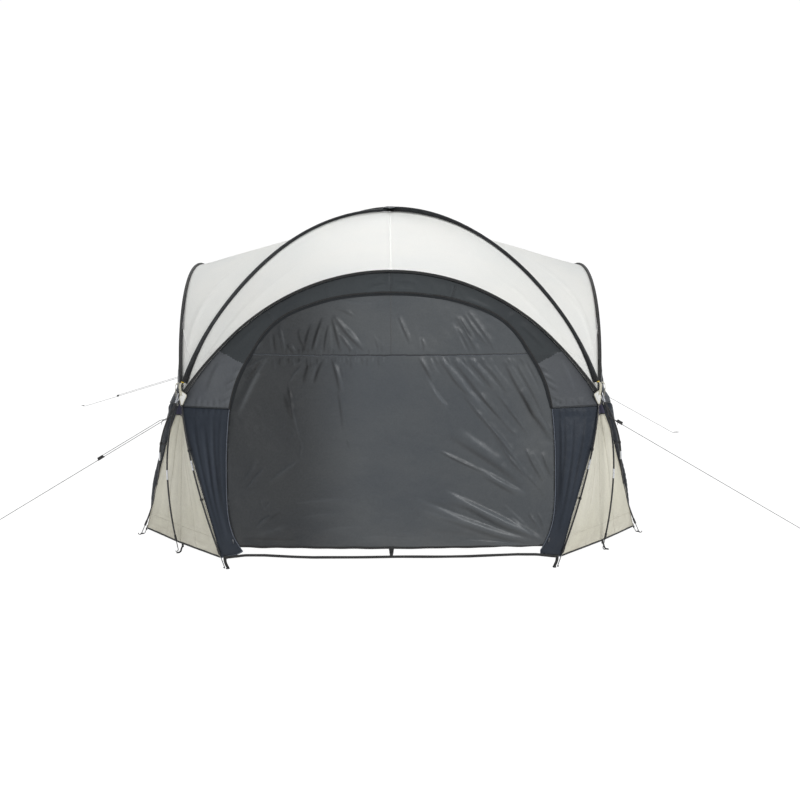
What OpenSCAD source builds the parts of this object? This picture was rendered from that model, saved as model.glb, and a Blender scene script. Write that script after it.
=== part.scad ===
// Square dome shelter on six shock-corded poles: two diagonals and four side
// arches that cross at four corner hubs and run on to twelve feet. The front
// faces -Y, the floor is z = 0, and the origin is the middle of the footprint.
// The four sides are alike, so most parts are drawn once and turned by 90 degrees.

/* [Footprint] */
// Centre to the outer row of feet
half_w = 1950; // [1850:10:2050]
// Sideways place of the feet that stand on each side
foot_x = 1190; // [1120:10:1260]
// Place of each middle corner foot, along X and along Y
mid_foot = 1586; // [1550:2:1620]
// Place of each corner hub, along X and along Y
hub_xy = 1547; // [1510:1:1580]

/* [Heights] */
// Top of the dome
dome_z = 2552; // [2450:2:2650]
// Top of each side arch
arch_z = 2079; // [2020:1:2130]
// Centre to the top of each side arch
arch_y = 1665; // [1640:1:1690]
// Height of the crossings at the corner hubs
hub_z = 1155; // [1120:1:1190]
// Height of the fabric corners above the floor
corner_z = 60; // [50:1:80]

/* [Poles] */
// Outer diameter of the pole tube
pole_d = 12.5; // [11:0.5:13]
// Bore of the pole tube
pole_bore = 8; // [7:0.5:9]
// How far each leg bows out of its straight line
leg_bow = 40; // [30:2:60]
// Height at which the pole tube ends and the steel pin goes on
tip_z = 105; // [95:1:120]
// Length of the steel ferrules
ferrule_l = 72; // [60:2:80]
// Diameter of the steel foot pin
pin_d = 5.8; // [5:0.2:6.4]
// Spacing of the poles where they cross
cross_gap = 18; // [17.5:0.5:20]

/* [Fabric] */
// Thickness of the fabric panels
cloth_t = 1.6; // [1.2:0.1:2]
// Gap between two panels that are sewn edge to edge
seam_gap = 4; // [3:0.5:6]
// Height of the straight seam that the door lifts about
hinge_z = 1480; // [1470:1:1490]
// Height of the door's hem at its middle
hem_z = 156; // [140:2:170]

/* [Ropes and webbing] */
// Guy rope diameter
rope_d = 4; // [3.6:0.2:5]
// Width of the ground strap
strap_w = 20; // [15:1:25]
// Radius of the peg eyelet's hole
eyelet_r = 5; // [4:0.25:6]

/* [Hidden] */
$fn = 32;
r2 = sqrt(2);
pr = pole_d / 2;

// ---------- curves: chains of arcs that run smoothly into each other ----------
function unit(v) = v / norm(v);
function mix(a, b, t) = a + (b - a) * t;
function chain(p, t, pts, i = 0) = i >= len(pts) ? [] :
    let (c = unit(pts[i] - p)) concat([arc(p, t, pts[i])], chain(pts[i], 2 * (t * c) * c - t, pts, i + 1));
// Arc from p0 with start direction t to p1: [centre, x, y, z, radius, sweep]
function arc(p0, t, p1) = let (d = p1 - p0, l = norm(d), c = d / l, ca = t * c, a = acos(ca), r = l / (2 * sin(a)), m = unit(c - ca * t))
    [p0 + r * m, -m, t, cross(-m, t), r, 2 * a];
function at(g, t) = g[0] + g[4] * (cos(g[5] * t) * g[1] + sin(g[5] * t) * g[2]);
function dir(g, t) = cos(g[5] * t) * g[2] - sin(g[5] * t) * g[1];
function len_of(g) = g[4] * g[5] * PI / 180;
// Share of the arc at which it comes down to height z
function t_at(g, z, a = 0, b = 1, n = 18) = n == 0 ? (a + b) / 2 :
    let (m = (a + b) / 2) at(g, m)[2] > z ? t_at(g, z, m, b, n - 1) : t_at(g, z, a, m, n - 1);

function arch_pt(x, z) = [x, -hub_xy - (arch_y - hub_xy) * (z - hub_z) / (arch_z - hub_z), z];
ah = arch_z - hub_z;
leg_g = 1 - tip_z / hub_z;
// Right half of a side arch, from its top to the end of its leg. off moves the hub crossing outwards.
function arch_half(off) = chain([0, -arch_y, arch_z], [1, 0, 0], [
    arch_pt(0.397 * hub_xy, hub_z + 0.867 * ah),
    arch_pt(0.737 * hub_xy, hub_z + 0.499 * ah),
    [hub_xy + off / r2, -hub_xy - off / r2, hub_z],
    [mix(hub_xy, half_w, 0.4) + leg_bow / r2, -mix(hub_xy, foot_x, 0.4) - leg_bow / r2, 0.6 * hub_z],
    [mix(hub_xy, half_w, leg_g) + leg_bow / 5 / r2, -mix(hub_xy, foot_x, leg_g) - leg_bow / 5 / r2, tip_z]]);
hs = hub_xy * r2;
fs = mid_foot * r2;
dh = dome_z - hub_z;
// Half of a diagonal, drawn in the XZ plane, from its top to the end of its leg
function diag_half(up) = chain([0, 0, dome_z + up], [1, 0, 0], [
    [0.31 * hs, 0, hub_z + 0.9313 * dh + up / 2],
    [0.5963 * hs, 0, hub_z + 0.73 * dh],
    [0.8372 * hs, 0, hub_z + 0.4166 * dh],
    [hs + cross_gap, 0, hub_z],
    [mix(hs, fs, 0.5) + 100, 0, 0.52 * hub_z],
    [fs + 24, 0, tip_z]]);
arch_mid = arch_half(0);
arch_in = arch_half(-cross_gap);
diag_a = diag_half(9.5);
diag_b = diag_half(-9.5);

// The fabric lies inside the poles
ha = hub_xy - 32 / r2;
fab_top = [0, -arch_y + 12.4, arch_z - 6.5];
fab_arch = chain(fab_top, [1, 0, 0], [
    arch_pt(0.397 * hub_xy, hub_z + 0.867 * ah) + [-4.5, 12, -5.5],
    arch_pt(0.737 * hub_xy, hub_z + 0.499 * ah) + [-8, 11.2, -3],
    [ha, -ha, hub_z - 5]]);
fab_diag = chain([0, 0, dome_z - 24], [1, 0, 0], [
    [0.31 * hs - 4, 0, hub_z + 0.9313 * dh - 17],
    [0.5963 * hs - 7, 0, hub_z + 0.73 * dh - 12],
    [0.8372 * hs - 11.5, 0, hub_z + 0.4166 * dh - 8],
    [ha * r2, 0, hub_z - 5]]);
fab_hub = [ha, -ha, hub_z - 5];
leg_c = 1 - corner_z / hub_z;
// Fabric corners at a side foot and at a middle foot
fab_foot = [mix(hub_xy, foot_x, leg_c) - 11, -mix(hub_xy, half_w, leg_c) + 17, corner_z];
fab_mid = [fs / r2 - 8, -fs / r2 + 8, corner_z];

// Points along a chain of arcs, n to each arc
function points(ch, n) = [for (i = [0:len(ch) - 1]) for (k = [(i == 0 ? 0 : 1):n]) at(ch[i], k / n)];
arch_pts = points(fab_arch, 8);
// Below the hub a wall's edge bellies out towards the leg: share of the way down against x and y
belly_x = [[0, 0], [0.05, 17], [0.12, 41], [0.2, 46], [0.3, 48], [0.5, 38], [0.75, 26], [1, 22]];
belly_y = [[0, 0], [0.05, 12], [0.12, 26], [0.2, 22], [0.3, 15], [0.5, 8], [0.75, 3], [1, 0]];
function edge_at(t) = mix(fab_hub, fab_foot, t) + [lookup(t, belly_x), lookup(t, belly_y), 0];
edge_pts = [for (i = [7:-1:1]) edge_at(belly_x[i][0])];
// Edge of a side wall as tables of height against x and y
edge_x = concat([for (p = edge_pts) [p[2], p[0]]], [[hub_z - 5.01, ha]], [for (i = [len(arch_pts) - 1:-1:0]) [arch_pts[i][2], arch_pts[i][0]]]);
edge_y = concat([for (p = edge_pts) [p[2], p[1]]], [[hub_z - 5.01, -ha]], [for (i = [len(arch_pts) - 1:-1:0]) [arch_pts[i][2], arch_pts[i][1]]]);
function xe(z) = lookup(z, edge_x);
function ye(z) = lookup(z, edge_y);
wall_y0 = half_w - 15;
function yc(z) = -wall_y0 + z * (wall_y0 + fab_top[1]) / fab_top[2];
// The side wall as a surface over x and z
function wall(x, z) = [x, yc(z) + (ye(z) - yc(z)) * pow(min(1, abs(x) / max(1, xe(z))), 2), z];
// Half width of the door's rounded outline at a height
door_tab = [[105, 1085], [220, 1132], [340, 1165], [500, 1180], [750, 1185], [950, 1178], [1090, 1165],
    [1180, 1145], [1270, 1118], [1390, 1062], [1515, 985], [1620, 915], [1720, 828], [1800, 680], [1840, 580]];
function dx(z) = lookup(z, door_tab);

// ---------- shapes ----------
module on_arc(g) multmatrix([[g[1][0], g[2][0], g[3][0], g[0][0]], [g[1][1], g[2][1], g[3][1], g[0][1]],
    [g[1][2], g[2][2], g[3][2], g[0][2]], [0, 0, 0, 1]]) children();
// Round tube or rod along part of an arc
module arc_tube(g, t0, t1, ro, ri = 0) on_arc(g) rotate([0, 0, g[5] * t0])
    rotate_extrude(angle = g[5] * (t1 - t0), $fn = 240) translate([g[4], 0]) difference() {
        circle(ro, $fn = 28);
        if (ri > 0) circle(ri, $fn = 28);
    }
// The tube segments of a chain of arcs, a hair apart inside their ferrules
module segments(ch, ro, ri = 0, gap = 0.3, n = 99) for (i = [0:min(n, len(ch)) - 1])
    arc_tube(ch[i], gap / len_of(ch[i]), 1 - gap / len_of(ch[i]), ro, ri);
// Ferrule over the joint between two arcs
module ferrule(a, b) {
    h = ferrule_l / 2;
    arc_tube(arc(at(a, 1 - h / len_of(a)), dir(a, 1 - h / len_of(a)), at(b, h / len_of(b))), 0, 1, pr + 0.95, pr + 0.3);
}
module frame_at(p, x, z) { // x and z are unit vectors at right angles
    y = cross(z, x);
    multmatrix([[x[0], y[0], z[0], p[0]], [x[1], y[1], z[1], p[1]], [x[2], y[2], z[2], p[2]], [0, 0, 0, 1]]) children();
}
module both() { children(); mirror([1, 0, 0]) children(); }
module turn(k) rotate([0, 0, 90 * k]) children();
// Diagonal k, 0 to 3, from the XZ plane to its corner
module corner(k) rotate([0, 0, 90 * k - 45]) children();

function normal_at(g, i, j) = let (a = len(g) - 1, b = len(g[0]) - 1,
    u = g[min(a, i + 1)][j] - g[max(0, i - 1)][j], v = g[i][min(b, j + 1)] - g[i][max(0, j - 1)]) unit(cross(u, v));
// Closed sheet of thickness t over a grid of points. It grows to the side that the normal looks to.
module sheet(g, t) {
    a = len(g); b = len(g[0]);
    pts = concat([for (i = [0:a - 1]) for (j = [0:b - 1]) g[i][j]],
        [for (i = [0:a - 1]) for (j = [0:b - 1]) g[i][j] + t * normal_at(g, i, j)]);
    n = a * b;
    faces = concat(
        [for (i = [0:a - 2]) for (j = [0:b - 2]) let (p = i * b + j) each [[p, p + b, p + b + 1], [p, p + b + 1, p + 1]]],
        [for (i = [0:a - 2]) for (j = [0:b - 2]) let (p = n + i * b + j) each [[p, p + b + 1, p + b], [p, p + 1, p + b + 1]]],
        [for (i = [0:a - 2]) let (p = i * b) each [[p, p + n, p + n + b], [p, p + n + b, p + b]]],
        [for (i = [0:a - 2]) let (p = i * b + b - 1) each [[p, p + b, p + n + b], [p, p + n + b, p + n]]],
        [for (j = [0:b - 2]) let (p = j) each [[p, p + 1, p + n + 1], [p, p + n + 1, p + n]]],
        [for (j = [0:b - 2]) let (p = (a - 1) * b + j) each [[p, p + n + 1, p + 1], [p, p + n, p + n + 1]]]);
    polyhedron(pts, t > 0 ? faces : [for (f = faces) [f[2], f[1], f[0]]]);
}
// Round cord along points, as one closed tube
function tangent(p, i) = unit(p[min(len(p) - 1, i + 1)] - p[max(0, i - 1)]);
module cord(p, r, n = 8) {
    m = len(p);
    pts = [for (i = [0:m - 1]) let (t = tangent(p, i), x = unit(cross(t, [0.31, 0.2, 1])), y = cross(t, x))
        for (k = [0:n - 1]) p[i] + r * (cos(360 * k / n) * x + sin(360 * k / n) * y)];
    polyhedron(pts, concat([[for (k = [0:n - 1]) k]], [[for (k = [n - 1:-1:0]) (m - 1) * n + k]],
        [for (i = [0:m - 2]) for (k = [0:n - 1]) let (a = i * n + k, b = i * n + (k + 1) % n)
            each [[a, a + n, b + n], [a, b + n, b]]]));
}

// ---------- poles ----------
module pole(c) color([0.1, 0.1, 0.11]) both() segments(c, pr, pole_bore / 2);
module diagonal_pole_a() for (k = [0, 2]) color([0.1, 0.1, 0.11]) corner(k) segments(diag_a, pr, pole_bore / 2);
module diagonal_pole_b() for (k = [1, 3]) color([0.1, 0.1, 0.11]) corner(k) segments(diag_b, pr, pole_bore / 2);
module arch_pole_front() pole(arch_mid);
module arch_pole_rear() turn(2) pole(arch_mid);
module arch_pole_left() turn(3) pole(arch_in);
module arch_pole_right() turn(1) pole(arch_in);
// Each pole's half, in its place: 4 diagonal halves, then 8 arch halves
module each_half(diag = true, arch = true) {
    if (diag) for (k = [0:3]) { $ch = k % 2 == 0 ? diag_a : diag_b; $out = [1, 0, 0]; corner(k) children(); }
    if (arch) for (k = [0:3]) turn(k) both() { $ch = k % 2 == 0 ? arch_mid : arch_in; $out = [1, 0, 0]; children(); }
}
module pole_ferrules() color([0.75, 0.76, 0.78]) each_half() for (i = [0:len($ch) - 2]) ferrule($ch[i], $ch[i + 1]);
module shock_cords() color([0.85, 0.85, 0.8]) each_half() {
    l = len($ch) - 1;
    segments($ch, 2, n = l);
    arc_tube($ch[l], 0.3 / len_of($ch[l]), 1 - 22 / len_of($ch[l]), 2);
}
// Plastic socket on the pole's end that holds the foot pin
module pole_tips() color([0.06, 0.06, 0.06]) each_half() {
    g = $ch[len($ch) - 1]; t = dir(g, 1); e = at(g, 1);
    frame_at(e - 26 * t, unit(cross([0, 1, 0.1], t)), t) difference() {
        cylinder(r = 8.2, h = 44);
        translate([0, 0, -1]) cylinder(r = pr + 0.45, h = 27.2);
        cylinder(r = pin_d / 2 + 0.15, h = 50);
    }
}
// Steel pin that ends in a hook on the floor
hook_r = 12;
module foot_pins() color([0.6, 0.61, 0.63]) each_half() {
    g = $ch[len($ch) - 1]; t = dir(g, 1); e = at(g, 1);
    n = unit($out - ($out * t) * t);
    l = (e[2] - hook_r - pin_d / 2 + hook_r * n[2]) / -t[2];
    b = e + l * t;
    frame_at(e - 16 * t, unit(cross([0, 1, 0.1], t)), t) cylinder(d = pin_d, h = l + 15.95);
    on_arc([b + hook_r * n, -n, t, cross(-n, t)]) rotate_extrude(angle = 165, $fn = 60) translate([hook_r, 0]) circle(d = pin_d, $fn = 28);
}
// Webbing tab beside each foot, from the fabric corner to the peg eyelet on the floor
module tab_shape() rotate([90, 0, 0]) linear_extrude(height = 24, center = true)
    polygon([[-24, corner_z - 4], [-21, corner_z - 4], [6, 2.4], [36, 2.4], [36, 0], [4.6, 0]]);
module tabs() {
    // middle feet
    for (k = [0:3]) corner(k) translate([fs + 4, 28, 0]) children();
    // feet of the side arches, which point along X at the right-hand end of each side
    for (k = [0:3]) turn(k) both() translate([half_w - 4, -foot_x + 30, 0]) children();
}
module foot_tabs() color([0.05, 0.05, 0.06]) tabs() difference() {
    tab_shape();
    translate([22, 0, -1]) cylinder(r = 9, h = 10);
}
module peg_eyelets() color([0.7, 0.7, 0.72]) tabs() translate([22, 0, 0]) difference() {
    cylinder(r = 8.9, h = 3);
    translate([0, 0, -1]) cylinder(r = eyelet_r, h = 10);
}
// Plastic clips that hold the wall's edge to the bowed leg
module clip(g, z) {
    t = t_at(g, z); p = at(g, t); d = dir(g, t);
    // the leg stands at the end of the next side's wall
    u = (hub_z - 5 - z) / (hub_z - 5 - corner_z);
    f = flip(edge_at(u));
    v = f - p; q = unit(v - (v * d) * d); l = norm(v);
    frame_at(p, q, d) {
        difference() {
            translate([0, 0, -8]) cylinder(r = pr + 3, h = 16);
            translate([0, 0, -9]) cylinder(r = pr + 0.3, h = 18);
            translate([-20, -4, -9]) cube([16, 8, 18]);
        }
        translate([pr + 2, -2, -6]) cube([max(4, l - pr - 7), 4, 12]);
    }
}
module pole_clips() color([0.03, 0.03, 0.03]) each_half(false, true) { clip($ch[3], 0.69 * hub_z); clip($ch[4], 0.395 * hub_z); }

// ---------- sleeves ----------
module diagonal_sleeves() color([0.24, 0.25, 0.27]) each_half(true, false) {
    segments($ch, pr + 2.4, pr + 1.25, n = 3);
    arc_tube($ch[3], 0.001, 0.80, pr + 2.4, pr + 1.25);
}
module arch_sleeves() color([0.24, 0.25, 0.27]) each_half(false, true) {
    segments($ch, pr + 2.4, pr + 1.25, n = 2);
    arc_tube($ch[2], 0.001, 0.98, pr + 2.4, pr + 1.25);
}

// ---------- roof ----------
ng = 16;
// Arch shape of the gore's outer edge, for u from 0 to 1
function side_pt(u) = let (q = min(23.999, abs(2 * u - 1) * 24), i = floor(q / 8), p = at(fab_arch[i], q / 8 - i)) [u < 0.5 ? -p[0] : p[0], p[1], p[2]];
function gore(u, v) = let (q = min(3.999, v * 4), i = floor(q), d = at(fab_diag[i], q - i),
    x = d[0] / r2, e = side_pt(u), k = (ha - x) / ha, c = [0, mix(fab_top[1], 0, k), mix(fab_top[2], dome_z - 24, k)],
    w = e[0] / ha, s = (e[2] - fab_hub[2]) / (fab_top[2] - fab_hub[2]), m = [0, -x, d[2]])
    [x * w, -x - seam_gap / 2, d[2]] + s * (c - m);
module roof(k) color([0.9, 0.9, 0.87]) turn(k)
    sheet([for (i = [0:ng]) [for (j = [0:9]) gore(i / ng, mix(0.02, 0.992, j / 9))]], cloth_t);
module roof_panel_front() roof(0);
module roof_panel_right() roof(1);
module roof_panel_rear() roof(2);
module roof_panel_left() roof(3);

// ---------- side walls ----------
// Outer edge height for each point of the door's outline, from the side to the top
eave_tab = [[1165, 1094, 1094], [1145, 1180, 1215], [1118, 1270, 1340], [1062, 1390, 1480], [985, 1515, 1610],
    [915, 1620, 1700], [828, 1720, 1790], [680, 1800, 1885], [440, 1880, 1982], [220, 1914, 2047], [0, 1925, 2066]];
function eave_row(e, s, n) = let (i = [s * (e[0] + 2), 0, e[1] + 2], o = [s * (e[2] > 2060 ? 0 : xe(e[2] + 3) - seam_gap), 0, e[2] - 3])
    [for (j = [0:n]) let (p = mix(i, o, j / n)) wall(p[0], p[2])];
module eave(k) color([0.22, 0.23, 0.25]) turn(k)
    sheet(concat([for (i = [0:9]) eave_row(eave_tab[i], -1, 3)], [for (i = [10:-1:0]) eave_row(eave_tab[i], 1, 3)]), -cloth_t);
module eave_band_front() eave(0);
module eave_band_right() eave(1);
module eave_band_rear() eave(2);
module eave_band_left() eave(3);

// Door outline above the straight seam, as x against height of the top edge
top_tab = [[0, 1925], [220, 1914], [440, 1880], [680, 1800], [828, 1720], [915, 1620], [980, 1520]];
module door_top(k) color([0.3, 0.31, 0.33]) turn(k)
    sheet([for (x = [-976, -915, -828, -680, -440, -220, 0, 220, 440, 680, 828, 915, 976])
        [for (j = [0:3]) wall(x, mix(hinge_z + 3, lookup(abs(x), top_tab) - 3, j / 3))]], -cloth_t);
module door_top_front() door_top(0);
module door_top_right() door_top(1);
module door_top_rear() door_top(2);
module door_top_left() door_top(3);

module side_wings() color([0.25, 0.27, 0.31]) for (k = [0:3]) turn(k) for (s = [-1, 1])
    sheet([for (i = [0:3]) [for (j = [0:7]) let (z = mix(mix(105, corner_z + 4, i / 3), 1086, j / 7),
        x = mix(dx(z) + 7, xe(z) - seam_gap, i / 3)) wall(s * x, z)]], s * -cloth_t);

// Lifting part of the door, below the straight seam
door_z = [hem_z + 4, 240, 340, 500, 700, 900, 1090, 1220, 1340, hinge_z - 2];
module door(k) color([0.3, 0.31, 0.33]) turn(k)
    sheet([for (i = [-6:6]) [for (z = door_z) wall(i / 6 * (min(dx(z), 1400) - 2), z)]], -cloth_t);
module door_front() door(0);
module door_right() door(1);
module door_rear() door(2);
module door_left() door(3);

// Bound hem under the door, with a webbing tab at its middle
module door_hem(k) color([0.05, 0.05, 0.06]) turn(k) {
    sheet([for (i = [-6:6]) [for (j = [0:1]) wall(i / 6 * (dx(hem_z) - 3), hem_z + 3.7 - 12 * j) + [0, -0.9, 0]]], 3.4);
    y0 = wall(0, hem_z - 8.6)[1]; ys = fab_foot[1] - 13;
    rotate([90, 0, 90]) linear_extrude(height = 22, center = true) polygon([[y0 + 3, hem_z - 8.6], [y0, hem_z - 8.6],
        [ys, hem_z - 24], [ys, hem_z - 84], [ys + 2.2, hem_z - 84], [ys + 2.2, hem_z - 25], [y0 + 1.5, hem_z - 12]]);
    translate([-15, ys - 2.5, hem_z - 62]) cube([30, 2.2, 22]);
}
module door_hem_front() door_hem(0);
module door_hem_right() door_hem(1);
module door_hem_rear() door_hem(2);
module door_hem_left() door_hem(3);

// Zip tape behind each side edge of the door
module zip_tapes() color([0.04, 0.04, 0.05]) for (k = [0:3]) turn(k) for (s = [-1, 1])
    sheet([for (i = [0:1]) [for (z = door_z) wall(s * (dx(z) - 12 + 24 * i), z) + [0, 4.5, 0]]], s * -1);
// Slider beside the gap, with its pull. It rides a circle through three points of the track.
sl_z0 = 176;
function sl_pt(z) = wall(dx(z) + 16, z) + [0, -6.5, 0];
sl_a = sl_pt(sl_z0) - sl_pt(960);
sl_b = sl_pt(480) - sl_pt(960);
sl_n = unit(cross(sl_a, sl_b));
sl_c = sl_pt(960) + cross((sl_a * sl_a) * sl_b - (sl_b * sl_b) * sl_a, cross(sl_a, sl_b)) / (2 * pow(norm(cross(sl_a, sl_b)), 2));
module zip_slider(k, s) color([0.55, 0.56, 0.58]) turn(k) mirror([s < 0 ? 1 : 0, 0, 0]) {
    p = sl_pt(sl_z0); z = unit(cross(sl_n, p - sl_c));
    frame_at(p, cross(z, sl_n), z) {
        translate([-5.5, -2, 0]) cube([11, 4, 14]);
        translate([-3, -3.6, -20]) cube([6, 1.4, 30]);
    }
}
module zip_slider_front_a() zip_slider(0, -1);
module zip_slider_front_b() zip_slider(0, 1);
module zip_slider_right_a() zip_slider(1, -1);
module zip_slider_right_b() zip_slider(1, 1);
module zip_slider_rear_a() zip_slider(2, -1);
module zip_slider_rear_b() zip_slider(2, 1);
module zip_slider_left_a() zip_slider(3, -1);
module zip_slider_left_b() zip_slider(3, 1);

// ---------- corners ----------
// Sheet between a wall's edge, the middle foot and the next wall's edge, from height z1 down to z0
function to_mid(t, u) = let (f = edge_at(t), m = mix(fab_hub, fab_mid, t), w = norm(m - f)) mix(f, m, u + (1 - u) * min(0.9, seam_gap / w));
function flip(p) = [-p[1], -p[0], p[2]];
module two_facets(t0, t1, n, m) {
    left = [for (i = [0:m]) [for (j = [0:n]) to_mid(mix(t0, t1, j / n), i / m)]];
    sheet(concat(left, [for (i = [m - 1:-1:0]) [for (j = [0:n]) flip(left[i][j])]]), -cloth_t);
}
module corner_panels() color([0.78, 0.76, 0.68]) for (k = [0:3]) turn(k) two_facets(0.105, 0.99, 6, 4);
module corner_caps() color([0.3, 0.31, 0.34]) for (k = [0:3]) turn(k) two_facets(0.05, 0.1, 2, 1);
// Pale webbing from each diagonal sleeve's end down over the crossing, and the canopy's stitched corner beside it
module corner_straps() color([0.85, 0.82, 0.72]) for (k = [0:3]) turn(k) both() translate([0, -hub_xy - 28, 0]) rotate([90, 0, 0]) {
    linear_extrude(height = 1.4) translate([hub_xy, hub_z]) polygon([[-18, 110], [3, 112], [-1, 60], [-22, 58]]);
    linear_extrude(height = 1.4) translate([hub_xy, hub_z]) polygon([[-24, 48], [-56, 28], [-20, -30], [-12, 22]]);
}
// Ring at the lower end of each diagonal sleeve
module corner_rings() color([0.85, 0.75, 0.2]) each_half(true, false) {
    g = $ch[3]; t = dir(g, 0.82); p = at(g, 0.82);
    frame_at(p, unit(cross([0, 1, 0], t)), t) difference() { cylinder(r = pr + 4, h = 7); translate([0, 0, -1]) cylinder(r = pr + 0.4, h = 9); }
}
module ground_straps() color([0.05, 0.05, 0.06]) for (k = [0:3]) turn(k)
    translate([-fab_foot[0] + 10, fab_foot[1] - 8, corner_z - 4]) cube([2 * fab_foot[0] - 20, 2, strap_w]);

// ---------- guy ropes ----------
// Where each rope's webbing loop sits at its hub, where the rope meets the floor and how far along the adjuster sits
guys = [[[-1616, -1616, 1022], [-3340, -1900, 2.2], 535], [[1608, -1608, 1010], [3369, -1900, 2.2], 44],
    [[-1612, 1612, 1020], [-4190, 4500, 2.2], 2925], [[1612, 1612, 1020], [3380, 2630, 2.2], 160]];
function flat_dir(g) = unit([g[1][0] - g[0][0], g[1][1] - g[0][1], 0]);
// The rope runs straight down, lies over onto the floor and ends in a small loop
function route(g) = let (d = flat_dir(g), s = [-d[1], d[0], 0], e = g[1], v = unit(e - g[0]), p = e - 60 * v)
    concat([for (i = [0:8]) mix(g[0] + 30 * v, p, i / 8)], [mix(p, e, 0.45) + [0, 0, 0.6], e + [0, 0, 0.4] + d * 2],
    [e + 18 * d, e + 34 * d + 5 * s, e + 50 * d + 13 * s, e + 68 * d + 16 * s, e + 84 * d + 10 * s, e + 90 * d,
     e + 84 * d - 10 * s, e + 68 * d - 16 * s, e + 50 * d - 13 * s, e + 36 * d - 7.5 * s]);
module guy(i) color([0.72, 0.73, 0.74]) cord(route(guys[i]), rope_d / 2);
module guy_rope_front_left() guy(0);
module guy_rope_front_right() guy(1);
module guy_rope_rear_left() guy(2);
module guy_rope_rear_right() guy(3);
module adjuster(i) color([0.03, 0.03, 0.03]) {
    g = guys[i]; v = unit(g[1] - 60 * unit(g[1] - g[0]) - g[0]); p = g[0] + g[2] * v; x = unit(cross([0, 0, 1], v));
    frame_at(p, x, v) difference() {
        union() {
            cylinder(d = 11, h = 52);
            translate([-4, 0, 4]) cube([8, 14, 44]);
            translate([0, 14, 4]) cylinder(d = 8, h = 44);
        }
        translate([0, 0, -1]) cylinder(d = rope_d + 1, h = 60);
    }
}
module guy_adjuster_front_left() adjuster(0);
module guy_adjuster_front_right() adjuster(1);
module guy_adjuster_rear_left() adjuster(2);
module guy_adjuster_rear_right() adjuster(3);
// Webbing loop at the hub that each rope is tied to
module guy_tabs() color([0.05, 0.05, 0.06]) for (g = guys) {
    v = unit(g[1] - g[0]); x = unit(cross([0, 0, 1], v));
    frame_at(g[0], x, v) translate([-8, -1.5, -4]) cube([16, 3, 32]);
}

diagonal_pole_a();
diagonal_pole_b();
arch_pole_front();
arch_pole_rear();
arch_pole_left();
arch_pole_right();
pole_ferrules();
shock_cords();
pole_tips();
foot_pins();
foot_tabs();
peg_eyelets();
pole_clips();
roof_panel_front();
roof_panel_right();
roof_panel_rear();
roof_panel_left();
diagonal_sleeves();
arch_sleeves();
eave_band_front();
eave_band_right();
eave_band_rear();
eave_band_left();
door_top_front();
door_top_right();
door_top_rear();
door_top_left();
side_wings();
door_front();
door_right();
door_rear();
door_left();
door_hem_front();
door_hem_right();
door_hem_rear();
door_hem_left();
corner_panels();
corner_caps();
corner_straps();
corner_rings();
ground_straps();
zip_tapes();
zip_slider_front_a();
zip_slider_front_b();
zip_slider_right_a();
zip_slider_right_b();
zip_slider_rear_a();
zip_slider_rear_b();
zip_slider_left_a();
zip_slider_left_b();
guy_tabs();
guy_rope_front_left();
guy_rope_front_right();
guy_rope_rear_left();
guy_rope_rear_right();
guy_adjuster_front_left();
guy_adjuster_front_right();
guy_adjuster_rear_left();
guy_adjuster_rear_right();
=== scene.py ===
import math

import bpy
import numpy as np
from mathutils import Matrix, Vector


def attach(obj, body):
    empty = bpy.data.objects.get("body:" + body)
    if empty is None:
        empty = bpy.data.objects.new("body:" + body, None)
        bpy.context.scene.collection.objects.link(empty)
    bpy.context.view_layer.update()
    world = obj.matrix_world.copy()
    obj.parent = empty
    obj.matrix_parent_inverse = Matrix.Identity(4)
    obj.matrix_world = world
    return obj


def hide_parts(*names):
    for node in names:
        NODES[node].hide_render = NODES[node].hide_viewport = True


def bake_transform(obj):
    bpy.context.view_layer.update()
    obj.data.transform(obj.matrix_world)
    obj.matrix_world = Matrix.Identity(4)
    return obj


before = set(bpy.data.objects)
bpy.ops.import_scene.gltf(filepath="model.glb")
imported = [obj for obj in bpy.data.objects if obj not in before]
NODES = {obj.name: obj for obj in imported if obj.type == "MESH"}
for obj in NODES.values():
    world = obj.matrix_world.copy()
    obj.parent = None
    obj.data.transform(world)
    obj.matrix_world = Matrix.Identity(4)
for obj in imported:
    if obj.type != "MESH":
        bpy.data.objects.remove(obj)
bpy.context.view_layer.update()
SIDES = ("front", "right", "rear", "left")
BODY = "shelter"
scene = bpy.context.scene

# ------------------------------------------------------------------ camera
cam_data = bpy.data.cameras.new("camera")
cam_data.sensor_width = 36.0
cam_data.lens = 946.62 / 800 * 36.0
cam_data.clip_start, cam_data.clip_end = 0.05, 200.0
cam = bpy.data.objects.new("camera", cam_data)
scene.collection.objects.link(cam)
cam.location = (-0.0268, -8.3855, 2.3325)
cam.rotation_euler = (math.pi / 2 - 0.1732, 0.0, -0.0136)
scene.camera = cam


# ------------------------------------------------------------------ curves, as in the CAD source (millimetres)
def V(*p):
    return np.array(p, float)


def unit(v):
    return v / np.linalg.norm(v)


class Arc:
    """Arc from p0 with start direction t to p1."""

    def __init__(self, p0, t, p1):
        d = p1 - p0
        length = np.linalg.norm(d)
        c = d / length
        ca = float(np.dot(t, c))
        a = math.acos(max(-1, min(1, ca)))
        self.r = length / (2 * math.sin(a))
        m = unit(c - ca * t)
        self.c = p0 + self.r * m
        self.u, self.v, self.s = -m, t, 2 * a
        self.len = self.r * self.s

    def at(self, k):
        return self.c + self.r * (math.cos(self.s * k) * self.u + math.sin(self.s * k) * self.v)

    def dir(self, k):
        return math.cos(self.s * k) * self.v - math.sin(self.s * k) * self.u


def chain(p, t, pts):
    out = []
    for q in pts:
        c = unit(q - p)
        out.append(Arc(p, t, q))
        t = 2 * float(np.dot(t, c)) * c - t
        p = q
    return out


def mix(a, b, t):
    return a + (b - a) * t


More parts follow.
